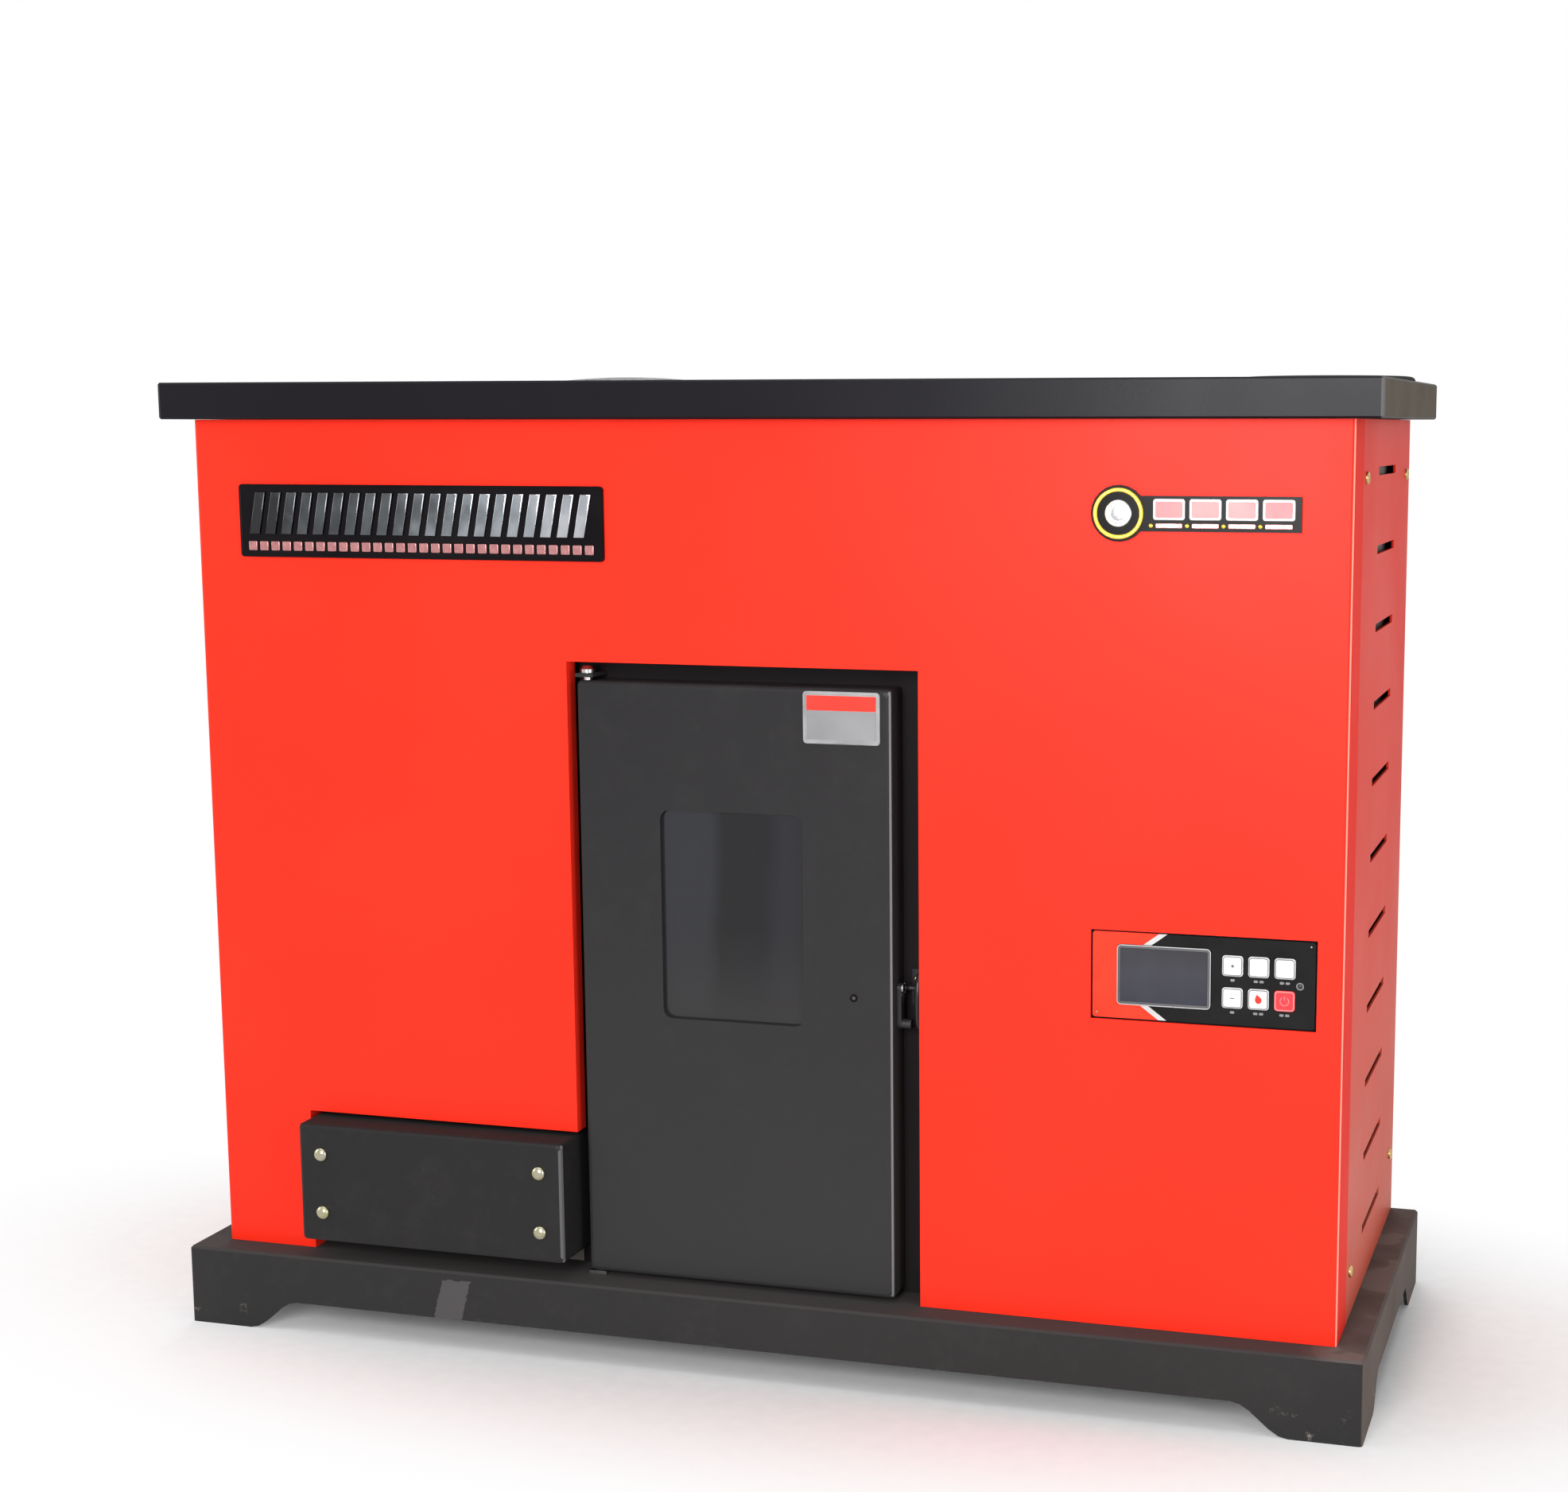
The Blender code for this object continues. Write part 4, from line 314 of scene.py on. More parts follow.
def bare_metal(paint, colour, shade, roughness, grain=180.0, metallic=1.0, blotch_scale=40.0):
    """Unpainted steel, zinc or iron with a blotchy tone and a fine grain."""
    blotch = paint.noise(blotch_scale, 6.0, 0.6)
    rough = paint.ramp(blotch, (0.3, roughness - 0.08), (0.8, roughness + 0.12))
    paint.coat(paint.ramp(blotch, (0.35, colour), (0.7, shade)), rough)
    paint.set(Metallic=metallic)
    paint.bump(paint.noise(grain, 6.0), 0.2, 0.0005)


def moulded_plastic(paint, colour, shade, roughness, specular=0.3):
    drift = paint.noise(18.0, 4.0)
    rough = paint.ramp(drift, (0.3, roughness - 0.04), (0.8, roughness + 0.06))
    paint.coat(paint.ramp(drift, (0.35, colour), (0.7, shade)), rough, specular)
    paint.bump(paint.noise(900.0, 2.0), 0.05, 0.0002)


def spangled_zinc(paint):
    """Hot-dip galvanised sheet: crystal spangles of slightly different grey, with drawn handling marks."""
    cells = paint.add("TexVoronoi", Vector=paint.place(), Scale=135.0)
    tone = paint.add("RGBToBW", Color=cells.outputs["Color"]).outputs["Val"]
    greys = paint.ramp(tone, (0.2, (0.40, 0.41, 0.42)), (0.8, (0.475, 0.485, 0.495)))
    paint.coat(greys, paint.ramp(tone, (0.2, 0.38), (0.8, 0.47)))
    paint.set(Metallic=1.0)
    paint.bump(paint.noise(12.0, 5.0, 0.6, (1.0, 1.0, 9.0)), 0.10, 0.0006)


def dark_glass(paint):
    """Heat glass with a thin bloom of soot: near black, greyer towards the middle of each cloud."""
    tone = paint.ramp(paint.noise(9.0, 4.0, 0.5, (1.0, 1.0, 0.5)), (0.40, (0.016, 0.018, 0.020)),
                      (0.62, (0.034, 0.037, 0.041)), (0.80, (0.052, 0.055, 0.060)))
    paint.coat(tone, paint.ramp(paint.noise(30.0, 5.0), (0.35, 0.07), (0.8, 0.20)))


def fibre_rope(paint):
    fibres = paint.noise(700.0, 5.0, 0.6)
    base = paint.ramp(fibres, (0.3, (0.34, 0.31, 0.27)), (0.7, (0.62, 0.59, 0.52)))
    soot = paint.ramp(paint.noise(22.0, 5.0), (0.50, 0.0), (0.75, 0.55))
    paint.coat(paint.mix(soot, base, (0.12, 0.11, 0.10)), 0.95)
    paint.bump(fibres, 0.6, 0.0006)


# Finishes that change from place to place
def chrome_with_painted_reflection(paint):
    """Dark plated trim, painted darkest at the plate's left end and bright chrome at its right, a painted
    reflection.
    """
    low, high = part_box("nameplate")
    blotch = paint.noise(34.0, 4.0)
    # Painted reflection: the colour runs from dark at the left end to bright at the right.
    along = paint.math("ADD", paint.share(paint.axis("X"), low.x, high.x), paint.wander(blotch, 0.9))
    tone = paint.ramp(along, (0.05, (0.045, 0.045, 0.048)), (0.45, (0.13, 0.14, 0.15)),
                      (0.75, (0.34, 0.37, 0.40)), (1.0, (0.52, 0.53, 0.56)))
    paint.coat(tone, paint.ramp(blotch, (0.3, 0.10), (0.8, 0.20)))
    paint.set(Metallic=1.0)
    paint.bump(paint.noise(120.0, 3.0), 0.15, 0.0008)


def window_glass(paint):
    """The fire door's window: near-black glass with soot wiped thin along its left side and lower corner."""
    low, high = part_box("door_glass")
    shift = paint.wander(paint.noise(14.0, 4.0, 0.5, (1.0, 1.0, 0.35)), 0.05)
    along = paint.share(paint.math("ADD", paint.axis("X"), shift), low.x, high.x)
    bands = paint.ramp(along, (0.08, (0.017, 0.018, 0.022)), (0.30, (0.016, 0.017, 0.021)),
                       (0.40, (0.005, 0.005, 0.006)), (0.68, (0.005, 0.005, 0.008)),
                       (0.80, (0.012, 0.011, 0.015)), (1.0, (0.010, 0.009, 0.012)))
    foot = paint.ramp(paint.share(paint.axis("Z"), low.z, high.z), (0.05, 0.85), (0.30, 0.25), (0.45, 0.0))
    rough = paint.ramp(paint.noise(30.0, 5.0), (0.35, 0.06), (0.8, 0.18))
    paint.coat(paint.mix(foot, bands, (0.022, 0.021, 0.021)), rough, 0.38)


def screen_glass(paint):
    """The unlit screen: slate grey, a little bluer and darker towards its foot."""
    low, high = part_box("display_lens")
    tone = paint.ramp(paint.share(paint.axis("Z"), low.z, high.z), (0.0, (0.034, 0.035, 0.050)),
                      (0.55, (0.046, 0.046, 0.057)), (1.0, (0.036, 0.034, 0.037)))
    cloud = paint.noise(40.0, 3.0)
    base = paint.mix(paint.ramp(cloud, (0.4, 0.0), (0.8, 0.35)), tone, (0.056, 0.059, 0.074))
    paint.coat(base, paint.ramp(cloud, (0.3, 0.12), (0.8, 0.22)), 0.25)


def controller_print(paint):
    """The controller's face: red at the left and black at the right, split by a silver arrow edge."""
    low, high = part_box("controller_face")
    across = paint.axis("X")
    rise = paint.math("ABSOLUTE", paint.less(paint.axis("Z"), (low.z + high.z) / 2), 0.0)
    slope, stripe = 1.35, 0.0066
    edge = paint.less(across, paint.times(rise, slope))
    start = low.x + stripe
    clear = paint.math("GREATER_THAN", across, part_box("display_lens")[0].x + 0.010)
    past_red = paint.times(paint.math("GREATER_THAN", edge, start), clear)
    past_stripe = paint.times(paint.math("GREATER_THAN", edge, start + stripe), clear)
    drift = paint.noise(25.0, 4.0)
    red = paint.ramp(drift, (0.3, (0.90, 0.040, 0.018)), (0.7, (0.94, 0.050, 0.024)))
    base = paint.mix(past_red, red, paint.ramp(drift, (0.3, 0.50), (0.7, 0.62)))
    base = paint.mix(past_stripe, base, paint.ramp(drift, (0.3, 0.008), (0.7, 0.012)))
    paint.coat(base, paint.ramp(drift, (0.3, 0.24), (0.7, 0.32)), 0.10)
    paint.bump(paint.noise(1200.0, 2.0), 0.05, 0.0001)


def side_paint(paint):
    """Red paint of the side panels, a little duller, a shade darker than red_paint as painted shade, and
    paler and browner towards the floor.
    """
    low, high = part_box("side_panel_right")
    # Paler and browner towards the floor, in cloudy patches.
    overlay = paint.ramp(paint.share(paint.axis("Z"), low.z, high.z), (0.05, 0.62), (0.45, 0.22), (0.80, 0.04))
    cloud = paint.ramp(paint.noise(30.0, 9.0, 0.75), (0.30, 0.55), (0.75, 1.0))
    # Painted shade: this red is a little darker than red_paint's.
    base = paint.drift((0.86, 0.026, 0.009), (0.82, 0.030, 0.012))
    lightened = paint.mix(paint.times(overlay, cloud), base, (0.50, 0.25, 0.17))
    paint.coat(lightened, paint.patchy(0.38, 0.46), 0.03)
    paint.peel()


def slab_paint(paint):
    """Satin black of the slab's front, duller on top. Its ends are duller still, under brown dust whose
    lightness is a painted reflection, and its rolled front-right edges carry a painted highlight.
    """
    end = paint.facing_mask("X")
    top = paint.times(paint.facing_mask("Z"), 0.75)
    # Brown dust on the ends, made light enough to stand in for their reflection: a painted reflection.
    overlay = paint.ramp(paint.noise(16.0, 6.0, 0.6), (0.3, (0.110, 0.094, 0.076)), (0.7, (0.150, 0.128, 0.101)))
    base = paint.mix(end, paint.drift((0.005, 0.004, 0.0065), (0.007, 0.006, 0.009)), overlay)
    # Painted highlight on rolled edges that look forward and right.
    base = paint.painted_edge_highlight(base, (0.130, 0.124, 0.126), 0.9, 0.10)
    paint.coat(base, paint.dulled(paint.patchy(0.25, 0.33), paint.math("MAXIMUM", end, top), 0.65), 0.13)
    paint.peel()


def plinth_paint(paint):
    """Black paint with floor dust, upward faces painted lighter as painted light, a dull tape mark on the
    front and scuffs on the feet.
    """
    across, up = paint.axis("X"), paint.axis("Z")
    specks = paint.noise(38.0, 9.0, 0.8)
    base = paint.drift((0.021, 0.021, 0.021), (0.026, 0.025, 0.025))
    base = paint.mix(paint.ramp(specks, (0.52, 0.0), (0.85, 0.13)), base, (0.10, 0.096, 0.09))
    base = add_plinth_dust_and_painted_light(paint, base, across)
    base = add_tape_mark(paint, base, across, up)
    scuffs = paint.ramp(paint.noise(55.0, 7.0, 0.7), (0.60, 0.0), (0.66, 0.8))
    low_down = paint.ramp(up, (0.004, 1.0), (0.030, 0.0))
    base = paint.mix(paint.times(scuffs, low_down), base, (0.24, 0.22, 0.20))
    rough = paint.ramp(specks, (0.3, 0.34), (0.8, 0.52))
    paint.coat(base, paint.dulled(rough, paint.sides(), 0.45), 0.14)
    paint.peel(0.12)


def add_plinth_dust_and_painted_light(paint, base, across):
    """Upward faces, the ledge among them, painted lighter as painted light, blotchy brown dust on the right
    end, and a lighter brown-grey tone on the plinth's own ends.
    """
    upward = paint.ramp(paint.axis("Z", "Normal"), (0.5, 0.0), (0.9, 1.0))
    # Painted light: the upward faces are painted lighter than the front.
    base = paint.mix(upward, base, (0.052, 0.048, 0.047))
    near_end = paint.ramp(paint.times(paint.less(across, RIGHT - 0.030), 30.0), (0.0, 0.0), (1.0, 1.0))
    blotches = paint.ramp(paint.noise(16.0, 2.0), (0.40, (0.085, 0.064, 0.058)),
                          (0.54, (0.110, 0.086, 0.077)), (0.57, (0.150, 0.120, 0.108)))
    base = paint.mix(paint.times(near_end, upward), base, blotches)
    # A lighter brown-grey tone on the faces that look left or right.
    end_tone = paint.ramp(paint.noise(9.0, 5.0, 0.6), (0.3, (0.120, 0.097, 0.086)), (0.75, (0.170, 0.139, 0.124)))
    return paint.mix(paint.facing_mask("X"), base, end_tone)


def add_tape_mark(paint, base, across, up):
    """A leaning rectangle with uneven edges on the plinth's front, where tape has lifted the shine."""
    shift = paint.wander(paint.noise(160.0, 5.0), 0.006)
    lean = paint.less(paint.math("ADD", across, shift), paint.times(up, 0.24))
    left, right, top = -0.2900, -0.2630, 0.062
    inside = paint.times(paint.math("GREATER_THAN", lean, left), paint.math("LESS_THAN", lean, right))
    below = paint.math("LESS_THAN", paint.math("ADD", up, shift), top)
    front = paint.math("LESS_THAN", paint.axis("Y"), FRONT - 0.020)
    tape = paint.times(paint.times(paint.times(inside, below), front), 0.36)
    return paint.mix(tape, base, (0.150, 0.142, 0.145))


# Finishes by name, with what each recipe is given
METALS = {
    "boiler_steel": ((0.10, 0.095, 0.09), (0.19, 0.17, 0.15), 0.55, 180.0, 0.8),
    "sooty_steel": ((0.055, 0.050, 0.046), (0.105, 0.093, 0.080), 0.65, 180.0, 0.5, 18.0),
    "cast_iron": ((0.030, 0.030, 0.031), (0.055, 0.053, 0.052), 0.6, 90.0, 0.3),
    "zinc": ((0.42, 0.38, 0.29), (0.30, 0.27, 0.20), 0.24, 300.0, 1.0, 90.0),
    "bolt_zinc": ((0.47, 0.44, 0.35), (0.43, 0.42, 0.22), 0.17, 300.0, 1.0, 170.0),
    "brass": ((0.62, 0.46, 0.19), (0.46, 0.33, 0.14), 0.30, 300.0, 1.0, 90.0),
    "gold": ((0.90, 0.66, 0.08), (0.80, 0.54, 0.05), 0.24, 300.0, 0.85, 120.0),
    "rose_metal": ((0.60, 0.28, 0.27), (0.40, 0.16, 0.17), 0.24, 400.0, 0.9, 160.0),
    "nickel": ((0.52, 0.52, 0.52), (0.38, 0.38, 0.385), 0.26, 300.0),
    "dark_steel": ((0.14, 0.13, 0.12), (0.09, 0.085, 0.08), 0.26, 300.0),
    "silver_plate": ((0.46, 0.46, 0.47), (0.54, 0.54, 0.55), 0.34, 500.0, 0.6),
    "label_silver": ((0.27, 0.27, 0.275), (0.34, 0.34, 0.345), 0.36, 500.0, 0.6),
}
PLASTICS = {
    "gloss_black": ((0.004, 0.003, 0.004), (0.007, 0.006, 0.007), 0.14, 0.08),
    "white_key": ((0.90, 0.90, 0.91), (0.94, 0.94, 0.94), 0.38),
    "red_key": ((0.72, 0.045, 0.055), (0.78, 0.055, 0.062), 0.36, 0.2),
    "red_key_edge": ((0.78, 0.22, 0.22), (0.84, 0.28, 0.27), 0.40),
    "frame_grey": ((0.085, 0.085, 0.09), (0.12, 0.12, 0.125), 0.30),
    "key_rim": ((0.20, 0.20, 0.21), (0.28, 0.28, 0.29), 0.30),
    "label_red": ((0.74, 0.035, 0.020), (0.82, 0.045, 0.030), 0.40, 0.2),
    "label_grey": ((0.21, 0.21, 0.22), (0.27, 0.27, 0.28), 0.42),
    "rose_enamel": ((0.72, 0.17, 0.19), (0.84, 0.32, 0.32), 0.26),
    "pale_blue": ((0.72, 0.82, 0.88), (0.78, 0.86, 0.90), 0.40),
}
PAINTS = {
    # red_paint's last colour is a painted highlight on its rolled front-right edges.
    "red_paint": ((0.90, 0.024, 0.009), (0.93, 0.029, 0.012), 0.34, 0.14, 0.30, (0.95, 0.36, 0.29)),
    "soot_black": ((0.010, 0.008, 0.010), (0.014, 0.012, 0.013), 0.45, 0.06),
    "latch_black": ((0.014, 0.013, 0.015), (0.020, 0.018, 0.020), 0.22, 0.35),
}
BLACK_COATS = {
    "black_paint": ((0.0215, 0.0205, 0.0225), (0.025, 0.025, 0.025)),
    # door_paint's last colour is the paler tone painted towards the floor, a painted light.
    "door_paint": ((0.0175, 0.0165, 0.0185), (0.020, 0.019, 0.020), (0.031, 0.031, 0.031)),
    "cover_paint": ((0.0165, 0.016, 0.0165), (0.019, 0.0185, 0.019)),
}
LONE_FINISHES = {
    "side_paint": side_paint,
    "slab_paint": slab_paint,
    "plinth_paint": plinth_paint,
    "chrome": chrome_with_painted_reflection,
    "galvanised": spangled_zinc,
    "dark_glass": dark_glass,
    "rope": fibre_rope,
    "window_glass": window_glass,
    "controller_print": controller_print,
    "screen_glass": screen_glass,
}


def make_materials():
    """Every finish by its name."""
    recipes = [(name, coat, ()) for name, coat in LONE_FINISHES.items()]
    for coat, kinds in ((painted_metal, PAINTS), (black_coat, BLACK_COATS), (bare_metal, METALS),
                        (moulded_plastic, PLASTICS)):
        recipes += [(name, coat, values) for name, values in kinds.items()]
    made = {}
    for name, coat, values in recipes:
        paint = Paint(name)
        coat(paint, *values)
        made[name] = paint.material
    return made


# Mesh building
def make_object(name, bm):
    """An object in the scene with the bmesh's geometry. The bmesh is freed."""
    mesh = bpy.data.meshes.new(name)
    bm.to_mesh(mesh)
    bm.free()
    thing = bpy.data.objects.new(name, mesh)
    bpy.context.collection.objects.link(thing)
    return thing


def new_piece(name, bm, finish, body="cabinet", smooth_angle=35.0):
    """A named object from world-space geometry, which rides on a body and takes a slot's finish."""
    bmesh.ops.recalc_face_normals(bm, faces=bm.faces)
    piece = make_object(name, bm)
    piece.data.shade_smooth()
    piece.data.set_sharp_from_angle(angle=math.radians(smooth_angle))
    piece.data.materials.append(materials[finish])
    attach(piece, body)
    return piece


def one_form(name, finish, slot, add, *shape, body="cabinet", **options):
    """A piece that is a single form."""
    bm = bmesh.new()
    add(bm, *shape, **options)
    new_piece(name, bm, finish, body)


def facing(turn, x, y, z):
    """A matrix that stands a flat piece, drawn in XY and rising along +Z, at a place and turned outward."""
    return Matrix.Translation((x, y, z)) @ turn


def centred(turn, node, y):
    """The same, over the middle of a node as seen from the front."""
    low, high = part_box(node)
    return facing(turn, (low.x + high.x) / 2, y, (low.z + high.z) / 2)


def front_of(node):
    """A node's bounds, and a matrix in the plane of its front."""
    low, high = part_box(node)
    return low, high, facing(TO_FRONT, 0.0, low.y, 0.0)


def half_width(node):
    low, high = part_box(node)
    return (high.x - low.x) / 2


def arc(centre_u, centre_v, radius, first_degrees, last_degrees, steps):
    points = []
    for step in range(steps + 1):
        angle = math.radians(first_degrees + (last_degrees - first_degrees) * step / steps)
        points.append((centre_u + radius * math.cos(angle), centre_v + radius * math.sin(angle)))
    return points


def rectangle(low_u, low_v, high_u, high_v):
    return [(low_u, low_v), (high_u, low_v), (high_u, high_v), (low_u, high_v)]


def rounded(low_u, low_v, high_u, high_v, radius, steps=4):
    return (arc(high_u - radius, low_v + radius, radius, -90, 0, steps)
            + arc(high_u - radius, high_v - radius, radius, 0, 90, steps)
            + arc(low_u + radius, high_v - radius, radius, 90, 180, steps)
            + arc(low_u + radius, low_v + radius, radius, 180, 270, steps))


def rounded_box(low, high, margin, radius, steps=4):
    """A rounded rectangle a margin inside a box, as seen from the front."""
    return rounded(low.x + margin, low.z + margin, high.x - margin, high.z - margin, radius, steps)


def shrunk(outline, margin):
    """The outline moved inward by a margin, corner by corner."""
    count = len(outline)
    moved = []
    for i in range(count):
        back, here, ahead = Vector(outline[i - 1]), Vector(outline[i]), Vector(outline[(i + 1) % count])
        first, second = (here - back).normalized(), (ahead - here).normalized()
        normals = Vector((-first.y, first.x)), Vector((-second.y, second.x))
        spread = max(1.0 + normals[0].dot(normals[1]), 0.3)
        moved.append(tuple(here + (normals[0] + normals[1]) * margin / spread))
    return moved


def around(radius, sides):
    """Points evenly round a circle."""
    angles = (2 * math.pi * i / sides for i in range(sides))
    return [(radius * math.cos(angle), radius * math.sin(angle)) for angle in angles]


def skin(bm, rings, matrix, closed=False):
    """Skins rings placed by the matrix. A ring of one point is a pole, and a closed skin joins its ends."""
    rows = [[bm.verts.new(matrix @ Vector(point)) for point in ring] for ring in rings]
    count = max(len(row) for row in rows)
    for low, high in zip(rows, rows[1:] + rows[:1] if closed else rows[1:]):
        for i in range(count):
            j = (i + 1) % count
            if len(low) == 1:
                bm.faces.new((low[0], high[j], high[i]))
            elif len(high) == 1:
                bm.faces.new((low[i], low[j], high[0]))
            else:
                bm.faces.new((low[i], low[j], high[j], high[i]))
    return rows


def add_rings(bm, rings, matrix, closed=False):
    """Skins rings of equal counts, and caps the ends of a skin that isn't closed."""
    rows = skin(bm, rings, matrix, closed)
    if not closed:
        bm.faces.new(list(reversed(rows[0])))
        bm.faces.new(rows[-1])


def at_height(outline, height):
    return [(u, v, height) for u, v in outline]


def add_slab(bm, outline, matrix, low, high):
    add_rings(bm, [at_height(outline, low), at_height(outline, high)], matrix)


def add_raised(bm, outline, matrix, low, high, bevel, steps=3):
    """A flat plate with its outer edge rolled over in a quarter round."""
    rings = [at_height(outline, low)]
    for step in range(steps + 1):
        angle = math.radians(90 * step / steps)
        inset = bevel * (1 - math.cos(angle))
        rings.append(at_height(shrunk(outline, inset), high - bevel * (1 - math.sin(angle))))
    rings.append(at_height(shrunk(outline, bevel * 1.25), high))
    add_rings(bm, rings, matrix)


def add_frame_ring(bm, outer, inner, matrix, low, high, bevel):
    """A closed frame between two outlines of equal counts, with both upper edges rounded."""
    rings = [at_height(outer, low), at_height(outer, high - bevel), at_height(shrunk(outer, bevel), high),
             at_height(shrunk(inner, -bevel), high), at_height(inner, high - bevel), at_height(inner, low)]
    add_rings(bm, rings, matrix, closed=True)


def add_turned(bm, profile, matrix, sides, closed=False):
    """Turns (radius, height) points round the matrix's Z axis. A radius of 0 is a pole."""
    rings = [at_height(around(radius, sides) if radius else [(0, 0)], height) for radius, height in profile]
    skin(bm, rings, matrix, closed)


def add_tube(bm, points, radius, sides, closed=False):
    """A round tube along points, with frames carried along so that it doesn't twist."""
    count = len(points)
    points = [Vector(p) for p in points]
    tangents = []
    for i in range(count):
        ahead = points[(i + 1) % count] if closed or i + 1 < count else points[i]
        back = points[i - 1] if closed or i > 0 else points[i]
        tangents.append((ahead - back).normalized())
    side = tangents[0].orthogonal().normalized()
    rings = []
    for point, tangent in zip(points, tangents):
        side = (side - tangent * side.dot(tangent)).normalized()
        other = tangent.cross(side)
        rings.append([point + side * u + other * v for u, v in around(radius, sides)])
    add_rings(bm, rings, Matrix.Identity(4), closed=closed)


def helper_object(name, bm):
    """An object that only takes part in a cut."""
    bmesh.ops.recalc_face_normals(bm, faces=bm.faces)
    return make_object(name, bm)


def cross_screw(radius, height):
    """A pan-head screw's mesh with a true cross recess, its seat at Z = 0."""
    profile, steps = [(0, 0.0), (radius, 0.0)], 6
    for step in range(steps + 1):
        angle = math.radians(90 * step / steps)
        profile.append((radius * (0.45 + 0.55 * math.cos(angle)), height * (0.3 + 0.7 * math.sin(angle))))
    profile.append((0, height))
    bm = bmesh.new()
    add_turned(bm, profile, Matrix.Identity(4), 28)
    head = helper_object("screw_head", bm)
    long, short = radius * 0.62, radius * 0.14
    cutters = []
    for half_u, half_v in ((long, short), (short, long)):
        outline = rectangle(-half_u, -half_v, half_u, half_v)
        bm = bmesh.new()
        rings = [at_height(shrunk(outline, short / 2), height * 0.35), at_height(outline, height * 1.3)]
        add_rings(bm, rings, Matrix.Identity(4))
        cutters.append(helper_object("screw_recess", bm))
        modifier = head.modifiers.new("recess", "BOOLEAN")
        modifier.operation = "DIFFERENCE"
        modifier.solver = "EXACT"
        modifier.object = cutters[-1]
    bpy.context.view_layer.update()
    result = bpy.data.meshes.new_from_object(head.evaluated_get(bpy.context.evaluated_depsgraph_get()))
    for helper in [head] + cutters:
        bpy.data.objects.remove(helper, do_unlink=True)
    return result


def add_screws(name, mesh, places, turn, finish):
    """A row of like screws on the cabinet, each turned by its own random angle."""
    chance = random.Random(name)
    bm = bmesh.new()
    for place in places:
        before = len(bm.verts)
        bm.from_mesh(mesh)
        bm.verts.ensure_lookup_table()
        matrix = facing(turn, *place) @ Matrix.Rotation(chance.uniform(0, math.pi), 4, "Z")
        bmesh.ops.transform(bm, matrix=matrix, verts=bm.verts[before:])
    new_piece(name, bm, finish)


# Pieces on the front panel
def dress_nameplate():
    """A black plate with a generic grille: leaning chrome bars over a row of small rosy dashes."""
    low, high, face = front_of("nameplate")
    rim = rounded_box(low, high, 0.0006, 0.0024)
    one_form("nameplate_rim", "gloss_black", "gloss_black",
             add_frame_ring, rim, shrunk(rim, 0.0014), face, 0.0, 0.0006, 0.0002)

    side_margin, bars, bar_width, lean = 0.007, 21, 0.0098, 0.007
    start, end = low.x + side_margin, high.x - side_margin - lean
    bottom, top = low.z + 0.0195, high.z - 0.0065
    pitch = (end - start) / bars
    bm = bmesh.new()
    for index in range(bars):
        left = start + pitch * index + (pitch - bar_width) / 2
        right = left + bar_width
        bar = [(left, bottom), (right, bottom), (right + lean, top), (left + lean, top)]
        add_raised(bm, bar, face, 0.0, 0.0021, 0.0012)
    new_piece("nameplate_bars", bm, "chrome")

    dashes, gap = 30, 0.0014
    bottom, top = low.z + 0.0055, low.z + 0.0135
    pitch = (high.x - low.x - 2 * side_margin) / dashes
    bm = bmesh.new()
    for index in range(dashes):
        left = start + pitch * index
        dash = rounded(left + gap, bottom, left + pitch - gap, top, 0.0008, 2)
        add_raised(bm, dash, face, 0.0, 0.0012, 0.0006)
    new_piece("nameplate_dashes", bm, "rose_metal")


def dress_badge():
    """A generic badge: a gold-rimmed medallion and a bar with rosy blocks, dashes and gold studs."""
    low, high, face = front_of("badge")
    radius = (high.z - low.z) / 2
    middle = Vector((low.x + radius, low.y, low.z + radius))
    medal = facing(TO_FRONT, *middle)
    rim = [(0.0168, 0.0), (0.0168, 0.0012), (0.0176, 0.0019), (0.0192, 0.0019), (0.0200, 0.0012),
           (0.0200, 0.0)]
    one_form("badge_gold_rim", "gold", "zinc", add_turned, rim, medal, 64, closed=True)
    boss = [(0, 0.0), (0.0105, 0.0), (0.0105, 0.0009), (0.0098, 0.0014), (0.0080, 0.0014), (0.0074, 0.0008),
            (0.0058, 0.0008), (0.0052, 0.0016), (0, 0.0022)]
    one_form("badge_boss", "nickel", "silver_plate", add_turned, boss, medal, 48)

    rims, blocks, dashes, studs = bmesh.new(), bmesh.new(), bmesh.new(), bmesh.new()
    count, gap, inset, dash_inset = 4, 0.0016, 0.0021, 0.002
    start, end = middle.x + radius + 0.004, high.x - 0.003
    bottom, top = middle.z - 0.0050, middle.z + 0.0116
    dash_low, dash_high = middle.z - 0.0112, middle.z - 0.0074
    pitch = (end - start) / count
    stud = [(0, 0.0), (0.0017, 0.0), (0.0015, 0.0007), (0.0008, 0.0012), (0, 0.0014)]
    for index in range(count):
        left, right = start + pitch * index + gap, start + pitch * (index + 1) - gap
        add_raised(rims, rounded(left, bottom, right, top, 0.0022), face, 0.0, 0.0012, 0.0006)
        block = rounded(left + inset, bottom + inset, right - inset, top - inset, 0.0012)
        add_raised(blocks, block, face, 0.0010, 0.0019, 0.0004)
        dash = rounded(left + dash_inset, dash_low, right - dash_inset, dash_high, 0.0008, 2)
        add_raised(dashes, dash, face, 0.0, 0.0010, 0.0004)
        add_turned(studs, stud, facing(TO_FRONT, start + pitch * index, low.y, middle.z - 0.0093), 16)
    new_piece("badge_block_rims", rims, "silver_plate")
    new_piece("badge_blocks", blocks, "rose_enamel")
    new_piece("badge_dashes", dashes, "rose_metal")
    new_piece("badge_studs", studs, "gold")


